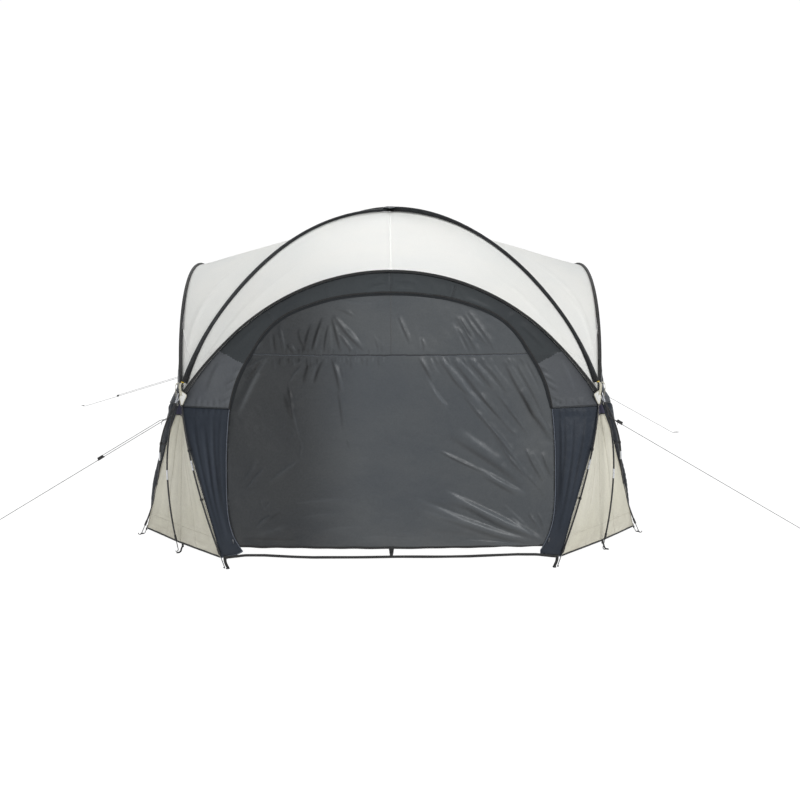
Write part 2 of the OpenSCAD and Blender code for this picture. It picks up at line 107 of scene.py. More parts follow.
half_w, foot_x, mid_foot, hub_xy = 1950.0, 1190.0, 1586.0, 1547.0
dome_z, arch_z, arch_y, hub_z, corner_z = 2552.0, 2079.0, 1665.0, 1155.0, 60.0
pole_d, leg_bow, tip_z, cross_gap = 12.5, 40.0, 105.0, 18.0
hinge_z, hem_z = 1480.0, 156.0
r2 = math.sqrt(2)
pr = pole_d / 2
ah = arch_z - hub_z
hs, fs, dh = hub_xy * r2, mid_foot * r2, dome_z - hub_z
leg_g = 1 - tip_z / hub_z


def arch_pt(x, z):
    return V(x, -hub_xy - (arch_y - hub_xy) * (z - hub_z) / (arch_z - hub_z), z)


def arch_half(off):
    return chain(V(0, -arch_y, arch_z), V(1, 0, 0), [
        arch_pt(0.397 * hub_xy, hub_z + 0.867 * ah),
        arch_pt(0.737 * hub_xy, hub_z + 0.499 * ah),
        V(hub_xy + off / r2, -hub_xy - off / r2, hub_z),
        V(mix(hub_xy, half_w, 0.4) + leg_bow / r2, -mix(hub_xy, foot_x, 0.4) - leg_bow / r2, 0.6 * hub_z),
        V(mix(hub_xy, half_w, leg_g) + leg_bow / 5 / r2, -mix(hub_xy, foot_x, leg_g) - leg_bow / 5 / r2, tip_z)])


def diag_half(up):
    return chain(V(0, 0, dome_z + up), V(1, 0, 0), [
        V(0.31 * hs, 0, hub_z + 0.9313 * dh + up / 2),
        V(0.5963 * hs, 0, hub_z + 0.73 * dh),
        V(0.8372 * hs, 0, hub_z + 0.4166 * dh),
        V(hs + cross_gap, 0, hub_z),
        V(mix(hs, fs, 0.5) + 100, 0, 0.52 * hub_z),
        V(fs + 24, 0, tip_z)])


arch_mid, arch_in = arch_half(0), arch_half(-cross_gap)
diag_a, diag_b = diag_half(9.5), diag_half(-9.5)
ha = hub_xy - 32 / r2
fab_top = V(0, -arch_y + 12.4, arch_z - 6.5)
fab_arch = chain(fab_top, V(1, 0, 0), [
    arch_pt(0.397 * hub_xy, hub_z + 0.867 * ah) + V(-4.5, 12, -5.5),
    arch_pt(0.737 * hub_xy, hub_z + 0.499 * ah) + V(-8, 11.2, -3),
    V(ha, -ha, hub_z - 5)])
fab_diag = chain(V(0, 0, dome_z - 24), V(1, 0, 0), [
    V(0.31 * hs - 4, 0, hub_z + 0.9313 * dh - 17),
    V(0.5963 * hs - 7, 0, hub_z + 0.73 * dh - 12),
    V(0.8372 * hs - 11.5, 0, hub_z + 0.4166 * dh - 8),
    V(ha * r2, 0, hub_z - 5)])
fab_hub = V(ha, -ha, hub_z - 5)
leg_c = 1 - corner_z / hub_z
fab_foot = V(mix(hub_xy, foot_x, leg_c) - 11, -mix(hub_xy, half_w, leg_c) + 17, corner_z)
fab_mid = V(fs / r2 - 8, -fs / r2 + 8, corner_z)


def points(ch, n):
    out = []
    for i, g in enumerate(ch):
        for k in range(0 if i == 0 else 1, n + 1):
            out.append(g.at(k / n))
    return np.array(out)


arch_pts = points(fab_arch, 24)
# below the hub a wall's edge bellies out towards the leg: share of the way down, x, y
belly = np.array([[0, 0, 0], [0.05, 17, 12], [0.12, 41, 26], [0.2, 46, 22], [0.3, 48, 15], [0.5, 38, 8], [0.75, 26, 3], [1, 22, 0]], float)


def edge_at(t):
    t = np.asarray(t, float)[..., None]
    b = np.concatenate([np.interp(t, belly[:, 0], belly[:, 1]), np.interp(t, belly[:, 0], belly[:, 2]), 0 * t], -1)
    return fab_hub + (fab_foot - fab_hub) * t + b


edge_pts = edge_at(belly[:0:-1, 0])
_ez = np.concatenate([edge_pts[:, 2], [hub_z - 5.01], arch_pts[::-1, 2]])
_ex = np.concatenate([edge_pts[:, 0], [ha], arch_pts[::-1, 0]])
_ey = np.concatenate([edge_pts[:, 1], [-ha], arch_pts[::-1, 1]])
wall_y0 = half_w - 15


def xe(z):
    return np.interp(z, _ez, _ex)


def ye(z):
    return np.interp(z, _ez, _ey)


def yc(z):
    return -wall_y0 + z * (wall_y0 + fab_top[1]) / fab_top[2]


def wall_y(x, z):
    """Y of the side wall's fabric over x and z, all arrays."""
    return yc(z) + (ye(z) - yc(z)) * np.minimum(1, np.abs(x) / np.maximum(1, xe(z))) ** 2


door_tab = np.array([[105, 1085], [220, 1132], [340, 1165], [500, 1180], [750, 1185], [950, 1178], [1090, 1165],
                     [1180, 1145], [1270, 1118], [1390, 1062], [1515, 985], [1620, 915], [1720, 828], [1800, 680], [1840, 580]], float)
top_tab = np.array([[0, 1925], [220, 1914], [440, 1880], [680, 1800], [828, 1720], [915, 1620], [985, 1515]], float)


def spline(pts, step=12.0):
    """Smooth line through points."""
    p = np.array(pts, float)
    p = np.vstack([2 * p[0] - p[1], p, 2 * p[-1] - p[-2]])
    out = []
    for i in range(1, len(p) - 2):
        a, b, c, d = p[i - 1], p[i], p[i + 1], p[i + 2]
        n = max(2, int(np.linalg.norm(c - b) / step))
        for k in range(n):
            t = k / n
            out.append(0.5 * ((2 * b) + (c - a) * t + (2 * a - 5 * b + 4 * c - d) * t * t + (3 * b - 3 * c + d - a) * t ** 3))
    out.append(p[-2])
    return np.array(out)


# Door outline, from its right foot over the top to its left foot, as (x, z)
_d = [(x, z) for z, x in door_tab[:13]] + [(x, z) for x, z in top_tab[:6][::-1]]
_d = [q for i, q in enumerate(_d) if i == 0 or q != _d[i - 1]]
d_right = [(1085, 105), (1132, 220), (1165, 340), (1180, 500), (1185, 750), (1178, 950), (1165, 1090), (1145, 1180),
           (1118, 1270), (1062, 1390), (985, 1515), (915, 1620), (815, 1720), (680, 1800), (440, 1880), (220, 1914), (0, 1925)]
d_line = spline(d_right + [(-x, z) for x, z in d_right[-2::-1]])
_half = d_line[: np.argmin(np.abs(d_line[:, 0])) + 1]
_low = _half[_half[:, 1] < 1700]


def dxs(z):
    return np.interp(z, _low[:, 1], _low[:, 0])


def rot(P, k):
    c, s = ((1, 0), (0, 1), (-1, 0), (0, -1))[k % 4]
    P = np.asarray(P, float)
    out = P.copy()
    out[..., 0] = c * P[..., 0] - s * P[..., 1]
    out[..., 1] = s * P[..., 0] + c * P[..., 1]
    return out


def rot_corner(P, k):
    a = math.radians(90 * k - 45)
    c, s = math.cos(a), math.sin(a)
    P = np.asarray(P, float)
    out = P.copy()
    out[..., 0] = c * P[..., 0] - s * P[..., 1]
    out[..., 1] = s * P[..., 0] + c * P[..., 1]
    return out


# ------------------------------------------------------------------ mesh tools
class Bag:
    """Collects parts, in millimetres, into one mesh."""

    def __init__(self):
        self.v, self.f, self.m, self.flat, self.tone, self.n = [], [], [], [], [], 0

    def add(self, v, f, m=0, flat=None, tone=None):
        v = np.asarray(v, float)
        self.v.append(v)
        self.f.extend([tuple(int(i) + self.n for i in q) for q in f])
        self.m.extend([m] * len(f))
        self.flat.append(np.zeros((len(v), 3)) if flat is None else np.asarray(flat, float))
        self.tone.append(np.zeros(len(v)) if tone is None else np.asarray(tone, float))
        self.n += len(v)
        return self

    def obj(self, name, mats, body=BODY, sharp=50, slot=None, fixed=True):
        v = np.concatenate(self.v) * 0.001
        me = bpy.data.meshes.new(name)
        me.from_pydata(v.tolist(), [], self.f)
        for m in mats:
            me.materials.append(m)
        me.polygons.foreach_set("material_index", np.array(self.m, np.int32))
        me.polygons.foreach_set("use_smooth", np.ones(len(self.f), bool))
        a = me.attributes.new("flat", "FLOAT_VECTOR", "POINT")
        a.data.foreach_set("vector", (np.concatenate(self.flat) * 0.001).astype(np.float32).ravel())
        a = me.attributes.new("tone", "FLOAT", "POINT")
        a.data.foreach_set("value", np.concatenate(self.tone).astype(np.float32))
        if sharp:
            me.set_sharp_from_angle(angle=math.radians(sharp))
        me.update()
        o = bpy.data.objects.new(name, me)
        scene.collection.objects.link(o)
        if body:
            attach(o, body)
        return o


def normals(v, f):
    f = np.asarray(f)
    a, b, c = v[f[:, 0]], v[f[:, 1]], v[f[:, -1]]
    fn = np.cross(b - a, c - a)
    if f.shape[1] == 4:
        fn = np.cross(v[f[:, 2]] - a, v[f[:, 3]] - b)
    n = np.zeros_like(v)
    for i in range(f.shape[1]):
        np.add.at(n, f[:, i], fn)
    return n / np.maximum(1e-12, np.linalg.norm(n, axis=1))[:, None]


def shell(v, f, t, out):
    """Closed sheet: its outer side is v and its inner side lies t further in."""
    v = np.asarray(v, float)
    f = np.asarray(f)
    n = normals(v, f)
    if (n * np.asarray(out)).sum() < 0:
        f, n = f[:, ::-1], -n
    N = len(v)
    e = np.concatenate([np.stack([f[:, i], f[:, (i + 1) % f.shape[1]]], 1) for i in range(f.shape[1])])
    code, back = e[:, 0] * N + e[:, 1], e[:, 1] * N + e[:, 0]
    rim = e[~np.isin(code, back)]
    faces = [tuple(q) for q in f.tolist()] + [tuple(q) for q in (f[:, ::-1] + N).tolist()]
    faces += [(b, a, a + N, b + N) for a, b in rim.tolist()]
    return np.vstack([v, v - t * n]), faces


def grid_faces(a, b):
    return [(i * b + j, (i + 1) * b + j, (i + 1) * b + j + 1, i * b + j + 1) for i in range(a - 1) for j in range(b - 1)]


def tangents(p, closed=False):
    if closed:
        t = np.roll(p, -1, 0) - np.roll(p, 1, 0)
    else:
        t = np.gradient(p, axis=0)
    return t / np.maximum(1e-9, np.linalg.norm(t, axis=1))[:, None]


def lengths(p):
    return np.concatenate([[0], np.cumsum(np.linalg.norm(np.diff(p, axis=0), axis=1))])


def sweep(path, profile, up, closed=False):
    """Carries a closed profile (across, out) along a path. up is the outward direction at each point."""
    p = np.asarray(path, float)
    t = tangents(p, closed)
    up = np.broadcast_to(np.asarray(up, float), p.shape)
    s = np.cross(t, up)
    s /= np.maximum(1e-9, np.linalg.norm(s, axis=1))[:, None]
    o = np.cross(s, t)
    prof = np.asarray(profile, float)
    if prof.ndim == 2:
        prof = np.broadcast_to(prof, (len(p),) + prof.shape)
    n = prof.shape[1]
    v = p[:, None] + prof[:, :, :1] * s[:, None] + prof[:, :, 1:2] * o[:, None]
    m = len(p)
    faces = []
    for i in range(m if closed else m - 1):
        j = (i + 1) % m
        for k in range(n):
            k2 = (k + 1) % n
            faces.append((i * n + k, i * n + k2, j * n + k2, j * n + k))
    if not closed:
        faces.append(tuple(range(n - 1, -1, -1)))
        faces.append(tuple((m - 1) * n + k for k in range(n)))
    around = np.concatenate([[0], np.cumsum(np.linalg.norm(np.diff(prof[0], axis=0), axis=1))])
    flat = np.zeros((m, n, 3))
    flat[:, :, 0] = lengths(p)[:, None]
    flat[:, :, 1] = around[None]
    flat[:, :, 2] = np.abs(np.abs(prof[:, :, 0]) - np.abs(prof[:, :, 0]).max(1)[:, None])
    return v.reshape(-1, 3), faces, flat.reshape(-1, 3)


def circle(r, n=12):
    a = np.arange(n) * 2 * math.pi / n
    return np.stack([r * np.cos(a), r * np.sin(a)], 1)


def band(w, t, n=3):
    """Rounded flat profile, w wide and t thick."""
    q = t / 2
    out = []
    for sx, a0 in ((1, -90), (-1, 90)):
        for i in range(n + 1):
            a = math.radians(a0 + 180 * i / n)
            out.append((sx * (w / 2 - q) + q * math.cos(a), q * math.sin(a)))
    return np.array(out)


def tube(path, r, n=12, closed=False):
    p = np.asarray(path, float)
    t = tangents(p, closed)
    ref = np.array([0.31, 0.2, 1.0])
    return sweep(p, circle(r, n), ref / np.linalg.norm(ref), closed)


def box_mesh(lo, hi, bevel):
    """Rounded block between two corners, by clamping a refined cube to an inner box."""
    lo, hi = np.array(lo, float), np.array(hi, float)
    n = 6
    g = np.array([-1, -0.85, -0.5, 0, 0.5, 0.85, 1.0])
    v, f, key = [], [], {}
    for ax in range(3):
        for s in (-1, 1):
            for i in range(n):
                for j in range(n):
                    q = []
                    for di, dj in ((0, 0), (1, 0), (1, 1), (0, 1)):
                        p = [0, 0, 0]
                        p[ax] = s
                        p[(ax + 1) % 3] = g[i + di]
                        p[(ax + 2) % 3] = g[j + dj]
                        p = tuple(p)
                        if p not in key:
                            key[p] = len(v)
                            v.append(p)
                        q.append(key[p])
                    f.append(tuple(q if s > 0 else q[::-1]))
    v = np.array(v)
    mid, half = (lo + hi) / 2, (hi - lo) / 2
    b = min(bevel, half.min())
    p = v * half
    core = np.clip(p, -(half - b), half - b)
    d = p - core
    l = np.linalg.norm(d, axis=1)
    d = np.where(l[:, None] > 1e-9, d / np.maximum(l, 1e-9)[:, None] * b, 0)
    return mid + core + d, f


def place(v, o, x, z):
    """Puts points into a frame with origin o, x axis and z axis."""
    x, z = unit(np.array(x, float)), unit(np.array(z, float))
    y = np.cross(z, x)
    v = np.asarray(v, float)
    return np.array(o) + v[:, :1] * x + v[:, 1:2] * y + v[:, 2:3] * z


def in_poly(p, poly):
    inside = np.zeros(len(p), bool)
    dist = np.full(len(p), 1e9)
    for a, b in zip(poly, np.roll(poly, -1, 0)):
        d = b - a
        c = ((a[1] > p[:, 1]) != (b[1] > p[:, 1]))
        if d[1] != 0:
            inside ^= c & (p[:, 0] < d[0] * (p[:, 1] - a[1]) / d[1] + a[0])
        t = np.clip(((p - a) @ d) / max(1e-9, d @ d), 0, 1)
        q = p - a - t[:, None] * d
        dist = np.minimum(dist, q[:, 0] ** 2 + q[:, 1] ** 2)
    return inside, np.sqrt(dist)


def fill(outline, step):
    """Even triangles inside an outline. Returns points, triangles and each point's distance from the edge."""
    from mathutils.geometry import delaunay_2d_cdt

    o = np.array(outline, float)
    pts = []
    for a, b in zip(o, np.roll(o, -1, 0)):
        n = max(1, int(math.ceil(np.linalg.norm(b - a) / step)))
        pts += [a + (b - a) * i / n for i in range(n)]
    B = np.array(pts)
    (x0, y0), (x1, y1) = B.min(0), B.max(0)
    G = []
    for i, y in enumerate(np.arange(y0 + step * 0.5, y1, step * 0.866)):
        xs = np.arange(x0 + (0.5 * step if i % 2 else 0), x1, step)
        G.append(np.stack([xs, np.full(len(xs), y)], 1))
    G = np.concatenate(G)
    inside, dist = in_poly(G, B)
    keep = inside & (dist > 0.55 * step)
    G, dist = G[keep], dist[keep]
    allp = np.vstack([B, G])
    nb = len(B)
    r = delaunay_2d_cdt([Vector(q) for q in allp.tolist()], [], [list(range(nb))], 1, 1e-6, False)
    P = np.array([tuple(q) for q in r[0]])
    F = np.array([tuple(q) for q in r[2]])
    F = F[in_poly(P[F].mean(1), B)[0]]
    E = np.concatenate([np.zeros(nb), dist]) if len(P) == len(allp) else in_poly(P, B)[1]
    return P, F, E


def noise(x, z, seed, scale, terms=18):
    """Smooth noise about -1 to 1; scale is its usual wavelength."""
    g = np.random.RandomState(seed)
    h = np.zeros(len(x))
    for _ in range(terms):
        a, k = g.uniform(0, 2 * math.pi), 2 * math.pi / (scale * g.uniform(0.6, 1.7))
        h += np.sin(k * (math.cos(a) * x + math.sin(a) * z) + g.uniform(0, 2 * math.pi))
    return h / math.sqrt(terms) * 1.1


def folds(x, z, strokes, lit=(0.50, 0.86)):
    """Height of folds in cloth, and their tone, which is painted light: a painted highlight along the lit side of each
    ridge and painted shade along the shaded side of each crease. A stroke is [height, width, x, z, x, z ...]; below 0
    its far side is the steep one.
    """
    h, tone = np.zeros(len(x)), np.zeros(len(x))
    for s in strokes:
        a, w = abs(s[0]), s[1]
        p = np.array(s[2:], float).reshape(-1, 2)
        lo, hi = p.min(0) - 4 * w, p.max(0) + 4 * w
        m = np.where((x > lo[0]) & (x < hi[0]) & (z > lo[1]) & (z < hi[1]))[0]
        if not len(m):
            continue
        c = spline(p, np.linalg.norm(p[-1] - p[0]) / 10)
        L = lengths(c)
        best = np.full(len(m), 1e9)
        side, along = np.zeros(len(m)), np.zeros(len(m))
        for i in range(len(c) - 1):
            d = c[i + 1] - c[i]
            l = np.linalg.norm(d)
            qx, qz = x[m] - c[i][0], z[m] - c[i][1]
            t = np.clip((qx * d[0] + qz * d[1]) / (l * l), 0, 1)
            nx, nz = -d[1] / l, d[0] / l
            if nx * lit[0] + nz * lit[1] < 0:
                nx, nz = -nx, -nz
            ex, ez = qx - t * d[0], qz - t * d[1]
            dd = np.hypot(ex, ez)
            b = dd < best
            best[b] = dd[b]
            side[b] = np.where(ex * nx + ez * nz >= 0, 1.0, -1.0)[b]
            along[b] = ((L[i] + t * l) / L[-1])[b]
        taper = np.sin(np.pi * np.clip(along, 0, 1)) ** 0.7
        q = best * side
        if s[0] > 0:
            g = np.where(q > 0, np.exp(-(q / (0.62 * w)) ** 2), np.exp(-(q / (1.5 * w)) ** 2))
        else:
            g = np.where(q > 0, np.exp(-(q / (1.5 * w)) ** 2), np.exp(-(q / (0.62 * w)) ** 2))
        h[m] += a * g * taper
        # painted highlight on a ridge's lit side, painted shade on a crease's shaded side
        if s[0] > 0:
            tone[m] += 0.027 * a * np.exp(-((q - 0.25 * w) / (0.55 * w)) ** 2) * taper
        else:
            tone[m] -= 0.034 * a * np.exp(-((q + 0.3 * w) / (0.6 * w)) ** 2) * taper
    return h, tone
FRONT_FOLDS = [
    [-9, 16, -480, 1755, -520, 1640, -560, 1510], [-7, 12, -440, 1705, -460, 1600, -470, 1500],
    [-10, 14, -415, 1755, -385, 1635, -350, 1500], [-10, 13, -410, 1770, -310, 1640, -185, 1515],
    [-7, 11, -365, 1640, -325, 1580, -270, 1510], [-5, 12, -395, 1820, -330, 1800, -250, 1755],
    [4, 12, -390, 1740, -300, 1675, -205, 1560], [4, 12, -370, 1875, -235, 1850, -90, 1850],
    [3, 12, -280, 1905, -155, 1895, -40, 1900], [6, 12, -505, 1675, -525, 1595, -545, 1505],
    [5, 13, -430, 1705, -425, 1610, -420, 1505], [-6, 18, -560, 1705, -595, 1600, -615, 1500],
    [-5, 14, -650, 1670, -645, 1610, -605, 1510], [8, 11, -790, 1690, -770, 1600, -750, 1490],
    [6, 9, -715, 1570, -695, 1535, -675, 1495], [-6, 9, -740, 1565, -715, 1525, -690, 1500],
    [7, 12, -925, 1590, -955, 1535, -990, 1480], [-4, 16, -830, 1640, -825, 1575, -815, 1495],
    [3, 14, -865, 1640, -855, 1555, -850, 1490], [-5, 10, -115, 1625, -100, 1570, -85, 1515],
    [-4, 9, -70, 1580, -65, 1540, -55, 1510], [2.5, 14, -130, 1675, -115, 1595, -115, 1515],
    [4.5, 9, -760, 1470, -760, 1440, -755, 1415], [-4.5, 9, -725, 1470, -725, 1445, -725, 1420],
    [4.5, 9, -695, 1470, -690, 1435, -690, 1400], [-4.5, 9, -650, 1470, -650, 1450, -650, 1430],
    [-4.5, 9, -595, 1475, -595, 1425, -590, 1375], [4.5, 9, -560, 1475, -560, 1435, -560, 1400],
    [-4.5, 9, -520, 1475, -520, 1445, -520, 1415], [4.5, 9, -460, 1475, -460, 1450, -455, 1425],
    [-4.5, 9, -390, 1475, -390, 1450, -390, 1430], [4.5, 9, -360, 1475, -360, 1450, -360, 1425],
    [4.5, 9, -335, 1475, -335, 1455, -335, 1435], [-4.5, 9, -315, 1475, -310, 1450, -310, 1425],
    [-4.5, 9, -285, 1475, -280, 1425, -280, 1380], [4.5, 9, -255, 1475, -255, 1455, -255, 1440],
    [4.5, 9, -230, 1475, -230, 1455, -230, 1435], [-4.5, 9, -205, 1475, -200, 1450, -200, 1425],
    [-4.5, 9, -165, 1475, -165, 1440, -165, 1405], [4.5, 9, -130, 1475, -130, 1455, -130, 1435],
    [-4.5, 9, -85, 1475, -85, 1440, -80, 1405], [4.5, 9, -55, 1475, -55, 1455, -55, 1435],
    [4.5, 9, -835, 1470, -830, 1425, -830, 1380], [-4.5, 9, -790, 1470, -790, 1440, -790, 1405],
    [-4, 9, -750, 1535, -745, 1510, -745, 1485], [4, 9, -730, 1545, -725, 1515, -725, 1485],
    [-4, 9, -655, 1535, -650, 1510, -650, 1490], [-4, 9, -630, 1535, -625, 1515, -625, 1490],
    [-4, 9, -590, 1535, -585, 1510, -585, 1490], [-4, 9, -535, 1540, -535, 1515, -530, 1490],
    [4, 9, -500, 1530, -495, 1510, -495, 1490], [-4, 9, -440, 1545, -440, 1520, -435, 1490],
    [-4, 9, -410, 1540, -405, 1515, -405, 1490], [-4, 9, -295, 1540, -290, 1515, -290, 1490],
    [-4, 9, -255, 1525, -250, 1510, -250, 1490], [-4, 9, -155, 1535, -155, 1515, -150, 1490],
    [11, 24, -870, 1465, -950, 1360, -1030, 1210, -1110, 1045], [6, 11, -890, 1465, -970, 1425, -1030, 1380],
    [-5, 10, -965, 1455, -1010, 1415, -1050, 1385], [-5, 16, -935, 1450, -985, 1375, -1040, 1300],
    [7, 14, -615, 1420, -680, 1355, -735, 1275], [5, 8, -615, 1460, -660, 1430, -725, 1400],
    [-7, 12, -735, 1275, -715, 1170, -695, 1030], [-6, 20, -560, 1445, -595, 1380, -615, 1285],
    [-8, 16, -475, 1455, -515, 1375, -540, 1285], [5, 16, -505, 1455, -545, 1385, -580, 1285],
    [-10, 12, -420, 1470, -385, 1350, -360, 1230], [5, 16, -400, 1450, -360, 1335, -340, 1225],
    [-4, 12, -360, 1410, -345, 1350, -340, 1305], [7, 12, -730, 1240, -710, 1110, -680, 995, -650, 885],
    [-4, 20, -760, 1215, -730, 1110, -695, 1030], [4, 9, -650, 885, -635, 835, -655, 755],
    [3, 8, -715, 980, -690, 930, -720, 890], [-6, 14, -375, 1245, -355, 1115, -340, 965],
    [-4, 9, -315, 900, -305, 865, -295, 835], [7, 22, -650, 745, -765, 665, -880, 570],
    [7, 12, -895, 690, -975, 610, -1050, 510], [3, 16, -955, 755, -1000, 665, -1090, 535],
    [8, 9, -855, 350, -905, 325, -975, 260], [5, 12, -865, 450, -890, 410, -915, 385],
    [3, 10, -940, 460, -920, 420, -915, 395], [-3, 16, -790, 380, -840, 355, -895, 300],
    [4, 20, -980, 210, -880, 235, -730, 280], [-4, 16, -1070, 195, -880, 195, -650, 185],
    [4, 16, -690, 435, -500, 460, -290, 475], [3, 20, -650, 335, -485, 360, -320, 370],
    [3.5, 18, -500, 250, -360, 265, -200, 280], [2.5, 10, -255, 660, -205, 670, -150, 675],
    [2.5, 10, -240, 760, -195, 765, -155, 775], [2.5, 9, -150, 515, -100, 510, -45, 505],
    [2.5, 14, -90, 330, -35, 325, 55, 335], [3.5, 16, -240, 190, -95, 205, 55, 195],
    [-9, 11, 50, 1765, 90, 1675, 135, 1565], [3, 18, 30, 1755, 70, 1655, 115, 1550],
    [-6, 8, 215, 1610, 230, 1565, 235, 1515], [3, 12, 195, 1655, 205, 1585, 210, 1520],
    [-6, 12, 455, 1770, 540, 1635, 620, 1490], [-8, 10, 490, 1755, 545, 1665, 600, 1570],
    [-6, 12, 515, 1780, 600, 1655, 695, 1545], [-6, 12, 545, 1795, 650, 1655, 750, 1505],
    [-5, 12, 465, 1690, 520, 1600, 570, 1500], [4, 14, 500, 1670, 585, 1580, 650, 1485],
    [4, 10, 485, 1620, 520, 1545, 555, 1495], [3, 16, 430, 1725, 465, 1655, 510, 1565],
    [-10, 13, 195, 1475, 245, 1395, 295, 1305], [7, 15, 240, 1350, 310, 1235, 395, 1125],
    [5, 12, 280, 1470, 310, 1395, 345, 1350], [-7, 15, 335, 1465, 395, 1395, 465, 1295, 575, 1185],
    [8, 24, 355, 1470, 465, 1350, 575, 1205, 715, 1025], [-8, 18, 430, 1465, 520, 1355, 640, 1200, 790, 1020],
    [6, 18, 465, 1470, 555, 1375, 670, 1245], [-7, 16, 540, 1465, 640, 1355, 740, 1235],
    [5, 18, 555, 1470, 665, 1365, 800, 1205], [-6, 14, 620, 1460, 725, 1355, 845, 1195],
    [4, 16, 695, 1455, 770, 1360, 885, 1215], [-10, 18, 810, 1445, 890, 1285, 980, 1135, 1040, 1015],
    [6, 14, 845, 1450, 920, 1320, 995, 1190], [-7, 14, 890, 1440, 955, 1320, 1025, 1200, 1110, 1030],
    [6, 14, 945, 1440, 1015, 1320, 1075, 1195], [-5, 10, 975, 1450, 1020, 1355, 1080, 1245],
    [4, 9, 275, 1470, 290, 1445, 305, 1415], [-4, 9, 310, 1470, 325, 1440, 345, 1415],
    [4, 9, 365, 1470, 385, 1435, 405, 1405], [-4, 9, 395, 1470, 410, 1440, 425, 1415],
    [4, 9, 455, 1470, 475, 1440, 490, 1415], [-4, 9, 510, 1465, 525, 1440, 540, 1415],
    [4, 9, 585, 1465, 600, 1445, 610, 1420], [-4, 9, 640, 1465, 655, 1445, 665, 1420],
    [4, 9, 715, 1465, 725, 1440, 740, 1420], [-4, 9, 835, 1460, 850, 1435, 865, 1405],
    [4, 9, 870, 1460, 890, 1435, 905, 1405], [-4, 9, 925, 1460, 945, 1435, 960, 1405],
    [6, 14, 290, 1245, 355, 1170, 410, 1115], [-8, 18, 500, 1225, 630, 1065, 750, 930, 920, 690],
    [7, 14, 540, 1170, 685, 1000, 815, 855, 965, 650], [6, 14, 575, 1230, 740, 1055, 910, 905],
    [-8, 12, 630, 1210, 760, 1055, 910, 895], [-7, 13, 740, 1225, 865, 1070, 995, 900],
    [4, 10, 855, 1095, 920, 1010, 1000, 900], [-11, 22, 930, 1230, 1025, 1060, 1100, 960, 1170, 855],
    [7, 12, 1035, 1115, 1100, 1005, 1165, 895], [-8, 30, 400, 935, 575, 825, 770, 695, 955, 545],
    [6, 34, 465, 970, 630, 850, 795, 730], [-7, 12, 715, 945, 870, 725, 1000, 595, 1110, 470],
    [6, 12, 750, 875, 920, 670, 1050, 520], [-10, 10, 340, 810, 490, 735, 665, 650],
    [10, 20, 630, 680, 770, 595, 965, 490], [-6, 20, 650, 635, 760, 575, 905, 490],
    [-9, 11, 970, 810, 1020, 700, 1095, 575], [-8, 14, 1090, 780, 1125, 680, 1170, 590],
    [5, 12, 1015, 790, 1060, 720, 1125, 590], [15, 26, 1100, 160, 970, 230, 840, 295, 530, 450, 380, 530],
    [-8, 30, 1090, 175, 915, 235, 765, 295, 555, 410, 380, 460],
    [12, 28, 1095, 145, 920, 190, 765, 235, 500, 330, 165, 480], [-7, 24, 1080, 150, 865, 180, 630, 250, 355, 345],
    [6, 14, 1090, 140, 810, 155, 630, 170, 455, 170], [5, 20, 535, 305, 375, 340, 190, 410],
    [-4, 26, 220, 470, 375, 435, 500, 375], [6, 12, 850, 340, 925, 280, 1015, 205],
    [4, 14, 805, 425, 895, 340, 990, 250], [-5, 9, 980, 365, 1025, 300, 1060, 250],
    [-5, 9, 1045, 360, 1075, 310, 1095, 245], [3.5, 8, 1000, 345, 1045, 285, 1080, 220],
    [3, 12, -10, 195, 125, 200, 265, 210], [-3, 20, 265, 260, 465, 240, 630, 210],
    [2.5, 14, 10, 230, 100, 230, 215, 220],
]


# ------------------------------------------------------------------ materials
def lin(c):
    c = c / 255
    return c / 12.92 if c <= 0.04045 else ((c + 0.055) / 1.055) ** 2.4


def rgb(r, g, b):
    return (lin(r), lin(g), lin(b), 1.0)


